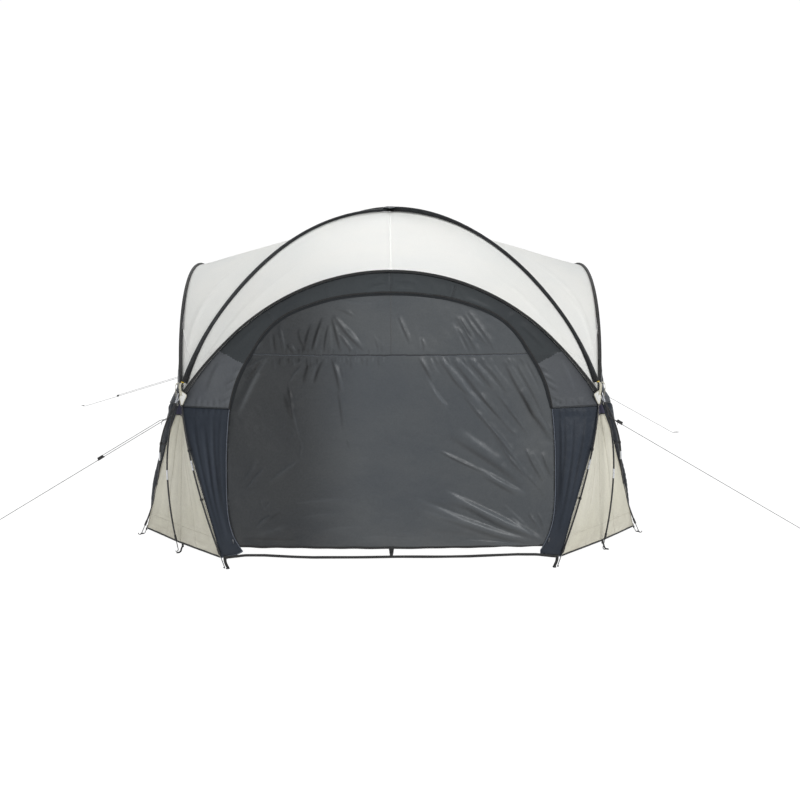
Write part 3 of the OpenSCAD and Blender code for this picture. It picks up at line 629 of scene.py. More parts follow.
class Nodes:
    def __init__(self, name):
        self.m = bpy.data.materials.new(name)
        self.m.use_nodes = True
        self.t = self.m.node_tree
        self.t.nodes.clear()
        self.out = self.new("ShaderNodeOutputMaterial")
        self.p = self.new("ShaderNodeBsdfPrincipled")
        self.link(self.p.outputs[0], self.out.inputs[0])

    def new(self, kind, **props):
        n = self.t.nodes.new(kind)
        for k, v in props.items():
            setattr(n, k, v)
        return n

    def link(self, a, b):
        self.t.links.new(a, b)

    def put(self, n, i, v):
        if hasattr(v, "links"):
            self.link(v, n.inputs[i])
        else:
            n.inputs[i].default_value = v

    def math(self, op, a, b=0.0, c=0.0):
        n = self.new("ShaderNodeMath", operation=op)
        for i, v in enumerate((a, b, c)):
            self.put(n, i, v)
        return n.outputs[0]

    def noise(self, vec, scale, detail=2.0, rough=0.5, stretch=None):
        if stretch:
            mp = self.new("ShaderNodeMapping")
            self.link(vec, mp.inputs[0])
            mp.inputs["Scale"].default_value = stretch
            vec = mp.outputs[0]
        n = self.new("ShaderNodeTexNoise")
        self.link(vec, n.inputs["Vector"])
        n.inputs["Scale"].default_value = scale
        n.inputs["Detail"].default_value = detail
        n.inputs["Roughness"].default_value = rough
        return n.outputs[0]

    def wave(self, vec, period, axis="X", distort=0.0):
        n = self.new("ShaderNodeTexWave", wave_type="BANDS", bands_direction=axis)
        self.link(vec, n.inputs["Vector"])
        n.inputs["Scale"].default_value = 2 * math.pi / (20 * period)
        n.inputs["Distortion"].default_value = distort
        return n.outputs[1]

    def ramp(self, v, a, b, lo=0.0, hi=1.0):
        n = self.new("ShaderNodeMapRange")
        self.put(n, 0, v)
        for i, q in enumerate((a, b, lo, hi)):
            n.inputs[i + 1].default_value = q
        return n.outputs[0]

    def mix(self, f, a, b, mode="MIX"):
        n = self.new("ShaderNodeMix", data_type="RGBA", blend_type=mode)
        self.put(n, 0, f)
        self.put(n, 6, a)
        self.put(n, 7, b)
        return n.outputs[2]

    def scale(self, colour, f):
        n = self.new("ShaderNodeVectorMath", operation="SCALE")
        self.put(n, 0, colour)
        self.put(n, "Scale", f)
        return n.outputs[0]

    def bump(self, h, strength, distance, normal=None):
        n = self.new("ShaderNodeBump")
        n.inputs["Strength"].default_value = strength
        n.inputs["Distance"].default_value = distance
        self.link(h, n.inputs["Height"])
        if normal is not None:
            self.link(normal, n.inputs["Normal"])
        return n.outputs[0]

    def flat(self):
        return self.new("ShaderNodeAttribute", attribute_type="GEOMETRY", attribute_name="flat").outputs["Vector"]

    def tone(self):
        return self.new("ShaderNodeAttribute", attribute_type="GEOMETRY", attribute_name="tone").outputs["Fac"]

    def spot(self):
        return self.new("ShaderNodeTexCoord").outputs["Object"]

    def set(self, **kw):
        for k, v in kw.items():
            self.p.inputs[k.replace("_", " ")].default_value = v
        return self


def cloth(name, base, other, rough=0.5, weave=0.0011, weave_bump=0.25, crinkle=0.3, stitch=None, edge=None, glow=None, sheen=0.15,
          dirt=None, stain=0.05, spec=0.45):
    """Woven synthetic cloth. other is a second colour that drifts over it; glow is the colour that shines through."""
    n = Nodes(name)
    flat = n.flat()
    sep = n.new("ShaderNodeSeparateXYZ")
    n.link(flat, sep.inputs[0])
    big = n.noise(flat, 1.3, 3.0, 0.55)
    c = n.mix(n.ramp(big, 0.35, 0.65), base, other)
    fine = n.noise(flat, 60.0, 4.0, 0.6)
    yarn = n.noise(flat, 500.0, 2.0, 0.6, (1.0, 0.12, 1.0))
    f = n.math("ADD", n.ramp(fine, 0.3, 0.7, 1 - stain, 1 + stain), n.ramp(yarn, 0.3, 0.7, -0.05, 0.05))
    # the tone attribute brightens and darkens the colour: mostly painted highlights and shade of the folds and painted
    # light and shade of the parts, with some random tone
    f = n.math("ADD", f, n.tone())
    c = n.scale(c, f)
    if dirt:
        low = n.math("MULTIPLY", n.ramp(sep.outputs[1], 0.02, 0.30, 1.0, 0.0), n.ramp(n.noise(flat, 9.0, 4.0, 0.6), 0.35, 0.75))
        c = n.mix(n.math("MULTIPLY", low, dirt[0]), c, dirt[1])
    wx, wz = n.wave(flat, weave, "X", 0.3), n.wave(flat, weave, "Y", 0.3)
    wv = n.math("MULTIPLY", wx, wz)
    if edge:
        c = n.mix(n.ramp(sep.outputs[2], 0.0, edge[0], edge[1], 0.0), c, edge[2])
    if stitch:
        line = n.math("LESS_THAN", n.math("ABSOLUTE", n.math("SUBTRACT", sep.outputs[2], 0.006)), 0.0007)
        dash = n.math("GREATER_THAN", n.wave(flat, 0.0042, "DIAGONAL"), 0.28)
        c = n.mix(n.math("MULTIPLY", line, dash), c, stitch)
        wv = n.math("ADD", wv, n.math("MULTIPLY", line, 2.0))
    n.link(c, n.p.inputs["Base Color"])
    r = n.ramp(n.noise(flat, 22.0, 3.0, 0.6), 0.3, 0.7, rough - 0.07, rough + 0.07)
    n.link(r, n.p.inputs["Roughness"])
    cr = n.noise(flat, 26.0, 5.0, 0.62)
    b = n.bump(cr, crinkle, 0.006)
    b = n.bump(wv, weave_bump, 0.0004, b)
    n.link(b, n.p.inputs["Normal"])
    n.set(Sheen_Weight=sheen, Sheen_Roughness=0.4, Specular_IOR_Level=spec)
    if glow:
        tr = n.new("ShaderNodeBsdfTranslucent")
        n.link(n.scale(c, glow[1]), tr.inputs[0])
        mx = n.new("ShaderNodeMixShader")
        mx.inputs[0].default_value = glow[0]
        n.link(n.p.outputs[0], mx.inputs[1])
        n.link(tr.outputs[0], mx.inputs[2])
        n.link(mx.outputs[0], n.out.inputs[0])
    return n.m


def webbing(name, base, other, rough=0.7, rib=0.0022):
    n = Nodes(name)
    flat = n.flat()
    sep = n.new("ShaderNodeSeparateXYZ")
    n.link(flat, sep.inputs[0])
    rx, ry = n.wave(flat, rib, "X", 0.6), n.wave(flat, rib * 0.8, "Y", 0.2)
    w = n.math("MULTIPLY", rx, ry)
    c = n.mix(n.ramp(w, 0.1, 0.8), other, base)
    c = n.scale(c, n.ramp(n.noise(flat, 40.0, 4.0, 0.6), 0.3, 0.7, 0.85, 1.15))
    c = n.mix(n.ramp(sep.outputs[2], 0.0, 0.002, 0.10, 0.0), c, rgb(110, 110, 108))
    n.link(c, n.p.inputs["Base Color"])
    n.link(n.ramp(n.noise(flat, 300.0), 0.3, 0.7, rough - 0.1, rough + 0.1), n.p.inputs["Roughness"])
    n.link(n.bump(w, 0.6, 0.0006), n.p.inputs["Normal"])
    n.set(Sheen_Weight=0.1)
    return n.m


def metal(name, base, rough=0.3, stretch=(1.0, 1.0, 1.0), scratch=0.25, dull=(0.5, 0.5, 0.5, 1.0)):
    n = Nodes(name)
    p = n.spot()
    lines = n.noise(p, 160.0, 4.0, 0.7, stretch)
    spots = n.noise(p, 35.0, 5.0, 0.65)
    n.link(n.mix(n.ramp(spots, 0.52, 0.72, 0.0, 0.55), base, dull), n.p.inputs["Base Color"])
    n.link(n.math("ADD", n.ramp(lines, 0.3, 0.7, rough - 0.08, rough + 0.1), n.ramp(spots, 0.5, 0.75, 0.0, 0.25)), n.p.inputs["Roughness"])
    n.link(n.bump(lines, scratch, 0.0003), n.p.inputs["Normal"])
    n.set(Metallic=1.0)
    return n.m


def plastic(name, base, worn, rough=0.45, grain=0.2):
    n = Nodes(name)
    p = n.spot()
    g = n.noise(p, 900.0, 2.0, 0.5)
    s = n.noise(p, 60.0, 5.0, 0.7)
    n.link(n.mix(n.ramp(s, 0.55, 0.75, 0.0, 0.5), base, worn), n.p.inputs["Base Color"])
    n.link(n.ramp(s, 0.3, 0.7, rough - 0.08, rough + 0.12), n.p.inputs["Roughness"])
    n.link(n.bump(g, grain, 0.0003), n.p.inputs["Normal"])
    n.set(Specular_IOR_Level=0.5)
    return n.m


def rod(name, base, worn, rough=0.28):
    """Pultruded glass fibre: fine streaks, a slight gloss, scuffs."""
    n = Nodes(name)
    p = n.spot()
    streak = n.noise(p, 240.0, 3.0, 0.6, (1.0, 1.0, 0.06))
    scuff = n.noise(p, 45.0, 5.0, 0.7)
    c = n.mix(n.ramp(streak, 0.35, 0.7, 0.0, 0.5), base, worn)
    c = n.mix(n.ramp(scuff, 0.6, 0.8, 0.0, 0.6), c, rgb(96, 96, 98))
    n.link(c, n.p.inputs["Base Color"])
    n.link(n.ramp(scuff, 0.3, 0.75, rough - 0.05, rough + 0.25), n.p.inputs["Roughness"])
    n.link(n.bump(streak, 0.15, 0.0004), n.p.inputs["Normal"])
    return n.m


def braid(name, a, b):
    n = Nodes(name)
    flat = n.flat()
    mp = n.new("ShaderNodeMapping")
    n.link(flat, mp.inputs[0])
    mp.inputs["Rotation"].default_value = (0, 0, math.radians(38))
    w1 = n.wave(mp.outputs[0], 0.0016, "X")
    w2 = n.wave(mp.outputs[0], 0.0016, "Y")
    w = n.math("MAXIMUM", w1, w2)
    fleck = n.noise(flat, 220.0, 3.0, 0.6)
    c = n.mix(n.ramp(w, 0.2, 0.9), b, a)
    n.link(n.scale(c, n.ramp(fleck, 0.3, 0.7, 0.88, 1.1)), n.p.inputs["Base Color"])
    n.p.inputs["Roughness"].default_value = 0.75
    n.link(n.bump(w, 0.7, 0.0006), n.p.inputs["Normal"])
    n.set(Sheen_Weight=0.15)
    return n.m


WHITE = cloth("white_cloth", rgb(240, 241, 239), rgb(244, 244, 241), 0.55, crinkle=0.10, weave_bump=0.12, glow=(0.35, 1.0), sheen=0.1,
              edge=(0.030, 0.10, rgb(222, 222, 217)), stain=0.012)
WHITE_TAPE = cloth("white_tape", rgb(226, 226, 223), rgb(230, 230, 226), 0.5, crinkle=0.05, weave_bump=0.2, stain=0.02,
                   stitch=rgb(205, 205, 200))
DOOR = cloth("door_cloth", rgb(74, 77, 79), rgb(65, 69, 73), 0.38, crinkle=0.16, stitch=rgb(40, 42, 44), sheen=0.08, spec=0.38,
             dirt=(0.35, rgb(92, 88, 84)), stain=0.06)
EAVE = cloth("eave_cloth", rgb(50, 54, 56), rgb(45, 49, 52), 0.50, crinkle=0.2, stitch=rgb(28, 29, 31), sheen=0.02, spec=0.25)
EAVE_LOW = cloth("eave_low_cloth", rgb(82, 85, 88), rgb(74, 77, 82), 0.46, crinkle=0.25, stitch=rgb(40, 41, 44), sheen=0.04, spec=0.3)
SLATE = cloth("slate_cloth", rgb(43, 49, 58), rgb(37, 43, 52), 0.50, crinkle=0.3, stitch=rgb(22, 27, 34), sheen=0.0, spec=0.22,
              dirt=(0.25, rgb(70, 69, 68)))
CREAM = cloth("cream_cloth", rgb(212, 209, 192), rgb(220, 217, 203), 0.6, crinkle=0.25, weave_bump=0.35, stitch=rgb(160, 155, 140),
              glow=(0.15, 0.9), dirt=(0.35, rgb(150, 140, 124)), stain=0.04)
CAP = cloth("cap_cloth", rgb(66, 64, 82), rgb(56, 57, 74), 0.55, crinkle=0.35, sheen=0.0, spec=0.2)
BIND = webbing("binding_tape", rgb(26, 27, 29), rgb(10, 10, 11), 0.7, 0.0016)
BLACK_WEB = webbing("black_webbing", rgb(24, 24, 25), rgb(9, 9, 10))
CREAM_WEB = webbing("cream_webbing", rgb(206, 203, 188), rgb(176, 171, 152))
# near-black cloth of the zip flap, partly painted shadow of the eave's overhanging edge
FLAP_SHADOW = cloth("zip_flap_painted_shadow", rgb(31, 34, 37), rgb(25, 28, 31), 0.55, crinkle=0.15, sheen=0.0, spec=0.2)
PATCH = cloth("crossing_cloth", rgb(92, 94, 96), rgb(80, 83, 86), 0.5, crinkle=0.2)
PIPING = webbing("grey_piping", rgb(100, 108, 120), rgb(66, 72, 84), 0.6, 0.0018)
SLEEVE = cloth("sleeve_cloth", rgb(38, 40, 42), rgb(32, 34, 37), 0.46, crinkle=0.3, stitch=rgb(22, 22, 24), sheen=0.03, spec=0.3)
SEAM = cloth("seam_tape_dark", rgb(40, 43, 46), rgb(34, 37, 41), 0.5, crinkle=0.1)
ROD = rod("black_fibreglass", rgb(22, 22, 24), rgb(44, 44, 46))
STEEL = metal("ferrule_steel", rgb(196, 198, 202), 0.24, (1, 1, 0.08))
ZINC = metal("zinc_steel", rgb(66, 68, 70), 0.5, (1, 1, 1), 0.4, rgb(66, 66, 65))
ZIPM = metal("zip_metal", rgb(120, 122, 126), 0.3)
BLACKP = plastic("black_plastic", rgb(20, 20, 21), rgb(54, 54, 55))
YELLOWP = plastic("yellow_plastic", rgb(206, 176, 60), rgb(222, 206, 130), 0.4)
SHOCK = braid("elastic_cord", rgb(210, 208, 196), rgb(120, 118, 108))
ROPE = braid("guy_rope", rgb(54, 56, 59), rgb(30, 31, 34))
ZIPT = webbing("zip_tape", rgb(22, 23, 26), rgb(8, 8, 9), 0.6, 0.0014)


def dress(node, *mats):
    """Gives a CAD node's slots their materials."""
    o = NODES[node]
    if not o.material_slots:
        o.data.materials.append(mats[0])
    for i, s in enumerate(o.material_slots):
        s.material = mats[min(i, len(mats) - 1)]


for node in ("diagonal_pole_a", "diagonal_pole_b", "arch_pole_front", "arch_pole_rear", "arch_pole_left", "arch_pole_right"):
    dress(node, ROD)
dress("pole_ferrules", STEEL)
dress("shock_cords", SHOCK)
dress("pole_tips", BLACKP)
dress("foot_pins", ZINC)
dress("peg_eyelets", ZINC)
dress("pole_clips", BLACKP)
dress("corner_rings", YELLOWP)


# ------------------------------------------------------------------ guy ropes
GUYS = (([-1616, -1616, 1022], [-3340, -1900, 2.2], 535), ([1608, -1608, 1010], [3369, -1900, 2.2], 44),
        ([-1612, 1612, 1020], [-4190, 4500, 2.2], 2925), ([1612, 1612, 1020], [3380, 2630, 2.2], 160))
CORNERS = ("front_left", "front_right", "rear_left", "rear_right")
ROPE_D = 4.0


def route(g):
    a, e = np.array(g[0], float), np.array(g[1], float)
    a = a + 30 * unit(e - a)
    d = unit(V(e[0] - a[0], e[1] - a[1], 0))
    s = V(-d[1], d[0], 0)
    v = unit(e - a)
    p = e - 60 * v
    pts = [mix(a, p, i / 8) for i in range(9)]
    pts += [mix(p, e, 0.45) + V(0, 0, 0.6), e + V(0, 0, 0.4) + d * 2, e + 18 * d]
    for f, q in ((34, 5), (50, 13), (68, 16), (84, 10), (90, 0), (84, -10), (68, -16), (50, -13), (36, -7.5)):
        pts.append(e + f * d + q * s)
    return np.array(pts)


def coil(o, axis, r, wire, turns, n=14):
    """Turns of cord round a line, as its points."""
    ax = unit(np.array(axis, float))
    x = unit(np.cross(ax, V(0.31, 0.2, 1)))
    y = np.cross(ax, x)
    k = np.arange(int(turns * n) + 1)
    a = k * 2 * math.pi / n
    return np.array(o) + (np.outer(np.cos(a), x) + np.outer(np.sin(a), y)) * r + np.outer(k * wire * 1.02 / n, ax)


for i, g in enumerate(GUYS):
    name = CORNERS[i]
    pts = route(g)
    path = spline(pts, 14.0)
    straight = path[:, 2] > 12
    v, f, flat = tube(path, ROPE_D / 2, 10)
    rope = Bag().add(v, f, 0, flat).obj("guy_rope_line_" + name, [ROPE], sharp=0, slot="rope")
    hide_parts("guy_rope_" + name)
    d = unit(pts[8] - pts[0])
    # knot at the hub and knot at the end loop
    knots = Bag()
    for o, ax, turns, r in ((pts[0] - 6 * d, d, 3, 3.6), (pts[11] + V(0, 0, 1.6) + 12 * unit(pts[12] - pts[11]), unit(pts[12] - pts[11]), 3, 3.7)):
        c = coil(o, ax, r, 3.0, turns)
        c[:, 2] = np.maximum(c[:, 2], 1.6)
        v, f, flat = tube(c, 1.5, 8)
        knots.add(v, f, 0, flat)
    x = unit(np.cross(V(0, 0, 1), d))
    y = np.cross(d, x)
    # short tail of the knot at the hub
    tail = spline([pts[0] + 4 * d + 3 * y, pts[0] + 12 * d + 8 * y - V(0, 0, 4), pts[0] + 20 * d + 10 * y - V(0, 0, 16), pts[0] + 22 * d + 9 * y - V(0, 0, 32)], 4)
    v, f, flat = tube(tail, 1.9, 8)
    knots.add(v, f, 0, flat)
    knots = knots.obj("guy_knots_" + name, [ROPE], sharp=0, slot="rope")
    # the rope's other strand, from the hub back down to the adjuster
    p = pts[0] + (g[2] - 30) * d
    off = 14.0
    st = [pts[0] + 2 * d + 3 * y] + [mix(pts[0] + 30 * d + off * y, p + off * y, k / 8) for k in range(9)] if g[2] > 60 else None
    if st is not None:
        q = spline(st, 12.0)
        v, f, flat = tube(q, 1.9, 8)
        back = Bag().add(v, f, 0, flat).obj("guy_return_" + name, [ROPE], body=None, sharp=0, slot="rope")
        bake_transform(back)
    dress("guy_adjuster_" + name, BLACKP)

# ------------------------------------------------------------------ roof
def arc_at(ch, q):
    """Points along a chain for parameters q, one unit to each arc."""
    q = np.clip(np.asarray(q, float), 0, len(ch) - 1e-9)
    out = np.zeros(q.shape + (3,))
    for i, g in enumerate(ch):
        m = (q >= i) & (q < i + 1)
        a = g.s * (q[m] - i)
        out[m] = g.c + g.r * (np.cos(a)[:, None] * g.u + np.sin(a)[:, None] * g.v)
    return out


def gore(U, W):
    """Roof panel of the front side over u across and v from its top to its lower edge."""
    U, W = np.asarray(U, float), np.asarray(W, float)
    d = arc_at(fab_diag, W * 4)
    x = d[..., 0] / r2
    e = arc_at(fab_arch, np.abs(2 * U - 1) * 3)
    e[..., 0] *= np.where(U < 0.5, -1, 1)
    k = (ha - x) / ha
    w = e[..., 0] / ha
    s = (e[..., 2] - fab_hub[2]) / (fab_top[2] - fab_hub[2])
    cy, cz = mix(fab_top[1], 0, k), mix(fab_top[2], dome_z - 24, k)
    return np.stack([x * w, -x + s * (cy + x), d[..., 2] + s * (cz - d[..., 2])], -1)


NU, NV = 97, 57
gu = np.linspace(0, 1, NU)
gv = np.concatenate([[0.004], np.linspace(0.02, 1.0, NV - 1)])
G0 = gore(gu[:, None] + 0 * gv, gv + 0 * gu[:, None])
P = G0.copy()
for _ in range(160):
    P[1:-1, 1:-1] = 0.5 * P[1:-1, 1:-1] + 0.125 * (P[2:, 1:-1] + P[:-2, 1:-1] + P[1:-1, 2:] + P[1:-1, :-2])
G1 = 0.6 * G0 + 0.4 * P
gn = np.cross(np.gradient(G1, axis=0), np.gradient(G1, axis=1))
gn /= np.linalg.norm(gn, axis=2)[..., None]
if gn[NU // 2, NV // 2, 2] < 0:
    gn = -gn
gs = np.concatenate([np.zeros((NU, 1)), np.cumsum(np.linalg.norm(np.diff(G1, axis=1), axis=2), axis=1)], 1)
ge_arch = gs[:, -1:] - gs
gl = np.concatenate([np.zeros((1, NV)), np.cumsum(np.linalg.norm(np.diff(G1, axis=0), axis=2), axis=0)], 0)
ge_diag = np.minimum(gl, gl[-1:] - gl)
roof_area = 0.0


def roof_surface(k):
    """The relaxed panel with its pulls and puckers, turned to side k. Returns points, outward normals and tone, which
    is the painted highlight and shade of the pulls.
    """
    g = np.random.RandomState(40 + k)
    s = gl
    ph = noise(s.ravel() * 1.0, ge_arch.ravel() * 0.3, 60 + k, 260).reshape(s.shape) * 2.2
    pucker = 1.1 * np.exp(-ge_arch / 45) * np.sin(2 * math.pi * s / 58 + ph)
    side = 0.9 * np.exp(-ge_diag / 40) * np.sin(2 * math.pi * gs / 64 + ph)
    h = pucker * np.clip(ge_diag / 60, 0, 1) + side * np.clip(ge_arch / 60, 0, 1) * np.clip(gs / 300, 0, 1)
    h += 2.2 * noise(G1[..., 0].ravel(), gs.ravel(), 70 + k, 700).reshape(s.shape) * np.clip(np.minimum(ge_arch, ge_diag) / 200, 0, 1)
    # pulls from the corners, over x and the distance from the lower edge
    st = []
    for sx in (-1, 1):
        for j in range(6):
            x0, x1 = 1440 - 35 * j, 1180 - 130 * j + g.uniform(-30, 30)
            y1 = 260 + 110 * j + g.uniform(-30, 30)
            st.append([(1 if j % 2 else -1) * g.uniform(2.5, 4.5), g.uniform(14, 24), sx * x0, 40 + 8 * j, sx * mix(x0, x1, 0.55), y1 * 0.5, sx * x1, y1])
    hf, tf = folds(G1[..., 0].ravel(), ge_arch.ravel(), st)
    lim = np.clip(np.minimum(ge_arch, ge_diag) / 30, 0, 1)
    h += hf.reshape(s.shape) * lim
    Q = G1 + gn * (h * np.clip(np.minimum(ge_arch, ge_diag) / 12, 0, 1))[..., None]
    return rot(Q, k), rot(gn, k), 0.25 * tf.reshape(s.shape) * lim


def grid_flat(a, b, c):
    return np.stack([a.ravel(), b.ravel(), c.ravel()], 1)


def on_grid(Q, N, path):
    """Points and normals on a panel's grid along (u, v) index pairs."""
    path = np.asarray(path, float)
    u = np.clip(path[:, 0] * (NU - 1), 0, NU - 1.001)
    v = np.clip(np.interp(path[:, 1], gv, np.arange(NV)), 0, NV - 1.001)
    i, j = u.astype(int), v.astype(int)
    a, b = (u - i)[:, None], (v - j)[:, None]

    def at(G):
        return (G[i, j] * (1 - a) + G[i + 1, j] * a) * (1 - b) + (G[i, j + 1] * (1 - a) + G[i + 1, j + 1] * a) * b
    n = at(N)
    return at(Q), n / np.linalg.norm(n, axis=1)[:, None]


for k, side in enumerate(SIDES):
    Q, N, T = roof_surface(k)
    v = Q.reshape(-1, 3)
    f = grid_faces(NU, NV)
    vv, ff = shell(v, f, 1.2, N.reshape(-1, 3))
    flat = grid_flat(G1[..., 0], gs, np.minimum(ge_arch, ge_diag))
    bag = Bag().add(vv, ff, 0, np.tile(flat, (2, 1)), np.tile(T.ravel(), 2))
    # sewn seams: one from the top to the arch, one across each corner
    for path in ([(0.5, q) for q in np.linspace(0.045, 0.985, 90)],
                 [(q, mix(0.905, 1.0, q / 0.17)) for q in np.linspace(0.004, 0.165, 26)],
                 [(1 - q, mix(0.905, 1.0, q / 0.17)) for q in np.linspace(0.004, 0.165, 26)]):
        c, n = on_grid(Q, N, path)
        sv, sf, sflat = sweep(c + n * 0.5, band(13, 1.0, 2), n)
        bag.add(sv, sf, 1, sflat)
    o = bag.obj("roof_" + side, [WHITE, WHITE_TAPE], sharp=0, slot="white_fabric")
    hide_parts("roof_panel_" + side)
    fw, fl = round(3.18, 2), round(2.36, 2)

# ------------------------------------------------------------------ sleeves
def thin(outer, t):
    """Closed thin profile whose outer side is an open line."""
    o = np.asarray(outer, float)
    d = np.gradient(o, axis=0)
    d /= np.linalg.norm(d, axis=1)[:, None]
    n = np.stack([d[:, 1], -d[:, 0]], 1)
    return np.vstack([o, (o + n * t)[::-1]])


def hat(h, w=22.0, r=9.0):
    """Cloth over a pole and sewn down on both sides; h is how far the cloth below lies under the pole's middle."""
    a = np.radians(np.linspace(172, 8, 15))
    mid = np.stack([r * np.cos(a), r * np.sin(a)], 1)
    foot = np.array([[-w, -h + 1.4], [-w + 5, -h + 1.6], [-w * 0.62, -h * 0.82 + 1]])
    return thin(np.vstack([foot, mid, foot[::-1] * [-1, 1]]), 0.9)


for k in range(4):
    ch = diag_a if k % 2 == 0 else diag_b
    q = np.linspace(0.0, 3.82, 150)
    Pc, Fc = arc_at(ch, q), arc_at(fab_diag, q)
    T = tangents(Pc)
    N = np.stack([-T[:, 2], 0 * T[:, 0], T[:, 0]], 1)
    h = np.maximum(10.5, ((Pc - Fc) * N).sum(1))
    h = np.minimum(h, 30)
    g = np.random.RandomState(90 + k)
    wob = noise(lengths(Pc), 0 * q, 95 + k, 120, 10)
    prof = np.array([hat(h[i] - 1.2, 16.0 + 0.6 * wob[i], 9.0 + 0.25 * wob[-1 - i]) for i in range(len(q))])
    v, f, flat = sweep(Pc, prof, N)
    bag = Bag().add(rot_corner(v, k), f, 0, flat)
    # bound end of the sleeve
    j = len(q) - 1
    v, f, flat = sweep(Pc[j - 3:], prof[j - 3:] * 1.06, N[j - 3:])
    bag.add(rot_corner(v, k), f, 1, flat)
    o = bag.obj("diagonal_sleeve_%d" % (k + 1), [SLEEVE, BIND], sharp=60, slot="dark_fabric")
    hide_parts("diagonal_sleeves")
# the patch where the two diagonals cross
a = np.linspace(0, 2 * math.pi, 41)[:-1]
R = []
for r_, z_ in ((6, 23.4), (30, 22.6), (55, 18.5), (70, 11)):
    rr = r_ * (1 + 0.06 * np.cos(4 * a))
    R.append(np.stack([rr * np.cos(a + math.pi / 4), rr * np.sin(a + math.pi / 4), dome_z + z_ - 1.0 + 0 * a - 9.0 * (r_ / 70) ** 2 * (1 - np.abs(np.cos(2 * a)))], 1))
v = np.vstack(R)
f = [(i * 40 + j, i * 40 + (j + 1) % 40, (i + 1) * 40 + (j + 1) % 40, (i + 1) * 40 + j) for i in range(3) for j in range(40)] + []
vv, ff = shell(v, f, 1.2, V(0, 0, 1))
o = Bag().add(vv, ff, 0, np.tile(np.stack([v[:, 0], v[:, 1], 70 - np.hypot(v[:, 0], v[:, 1])], 1), (2, 1))).obj("crossing_patch", [PATCH], sharp=60, slot="dark_fabric")
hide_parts("diagonal_sleeves")

for k, side in enumerate(SIDES):
    ch = arch_mid if k % 2 == 0 else arch_in
    q = np.linspace(0.0, 2.975, 116)
    Pc, Fc = arc_at(ch, q), arc_at(fab_arch, q)
    q = np.concatenate([-q[:0:-1], q])
    Pc = np.vstack([Pc[:0:-1] * [-1, 1, 1], Pc])
    Fc = np.vstack([Fc[:0:-1] * [-1, 1, 1], Fc])
    T = tangents(Pc)
    D = Fc - Pc
    D -= (D * T).sum(1)[:, None] * T
    dl = np.clip(np.linalg.norm(D, axis=1), 10.5, 40)
    U = -D / np.linalg.norm(D, axis=1)[:, None]
    a = np.radians(np.linspace(-58, 238, 22))[::-1]
    prof = []
    wob = noise(lengths(Pc), 0 * q, 105 + k, 110, 10)
    for i in range(len(q)):
        c = np.stack([9.0 * np.cos(a), 9.0 * np.sin(a)], 1)
        prof.append(thin(np.vstack([[[-0.6, -dl[i] - 0.5]], c, [[0.6, -dl[i] - 0.5]]]), 0.9))
    prof = np.array(prof)
    v, f, flat = sweep(Pc, prof, U)
    bag = Bag().add(rot(v, k), f, 0, flat)
    # the sleeve's flange along the eave
    L = lengths(Pc)
    xs, zs = Fc[:, 0], Fc[:, 2]
    inw = np.stack([-xs, 0 * xs, -(zs - 900)], 1)
    s = np.cross(T, V(0, -1, 0))
    s /= np.linalg.norm(s, axis=1)[:, None]
    s *= np.where((s * inw).sum(1) > 0, 1, -1)[:, None]
    fl = []
    for dist in (2.0, 24.0):
        p = Fc + s * dist
        z = p[:, 2]
        y = wall_y(p[:, 0], np.minimum(z, 2072))
        fl.append(np.stack([p[:, 0], y - (4.6 if dist < 10 else 2.2), z], 1))
    v = np.concatenate([fl[0], mix(fl[0], fl[1], 0.5) - V(0, 0.8, 0), fl[1]])
    m = len(Fc)
    f = [(i, i + 1, m + i + 1, m + i) for i in range(m - 1)] + [(m + i, m + i + 1, 2 * m + i + 1, 2 * m + i) for i in range(m - 1)]
    vv, ff = shell(v, f, 1.0, V(0, -1, 0))
    fll = np.concatenate([np.stack([L, 0 * L, 0 * L], 1), np.stack([L, 0 * L + 11, 0 * L + 11], 1), np.stack([L, 0 * L + 22, 0 * L], 1)])
    bag.add(rot(vv, k), ff, 1, np.tile(fll, (2, 1)))
    for sl in (slice(0, 4), slice(len(q) - 4, len(q))):
        v, f, flat = sweep(Pc[sl], prof[sl] * 1.08, U[sl])
        bag.add(rot(v, k), f, 2, flat)
    o = bag.obj("arch_sleeve_" + side, [BIND, SLEEVE, BIND], sharp=60, slot="dark_fabric")
    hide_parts("arch_sleeves")

# ------------------------------------------------------------------ side walls
SEAMS = (((0, 1925), (0, 2068)), ((428, 1878), (455, 1972)), ((835, 1722), (872, 1795)), ((1150, 1460), (1222, 1496)))


def strokes_of(k):
    """The folds of side k: the front's own, and for the others the same family, mirrored and shaken."""
    if k == 0:
        return FRONT_FOLDS
    g = np.random.RandomState(7 + k)
    out = []
    for s in FRONT_FOLDS:
        if g.uniform() < 0.12:
            continue
        dx, dz = g.uniform(-70, 70), g.uniform(-25, 25)
        if abs(s[3] - 1470) < 12 or abs(s[-1] - 1505) < 18:
            dz = 0
        m = -1 if k in (1, 3) else 1
        q = [s[0] * g.uniform(0.7, 1.15) * (1 if g.uniform() > 0.15 else -1), s[1] * g.uniform(0.9, 1.3)]
        st = g.uniform(0.85, 1.1)
        for i in range(2, len(s), 2):
            q += [m * (s[2] + (s[i] - s[2]) * st) + dx, s[3] + (s[i + 1] - s[3]) * st + dz]
        out.append(q)
    return out


def wall_height(x, z, k, edge, strokes, undulate=3.0, fine=0.7):
    """How far the cloth stands out from the smooth wall, and its tone, which is the painted highlight and shade of the
    folds.
    """
    h, tone = folds(x, z, strokes)
    h, tone = 1.4 * h, 1.55 * tone
    h = h + undulate * noise(x, z, 11 + k, 620, 14) + fine * noise(x, z, 21 + k, 75, 20)
    lim = np.clip(edge / 26, 0, 1)
    lim = 0.25 * np.clip(edge / 6, 0, 1) + 0.75 * lim * lim * (3 - 2 * lim)
    # the wing lies flat where the zip slider runs over it
    past = np.abs(x) - dxs(z)
    q = np.clip((past - 26) / 36, 0, 1)
    lim = np.where((past > 1) & (z < 1093), lim * q * q * (3 - 2 * q), lim)
    return h * lim, tone


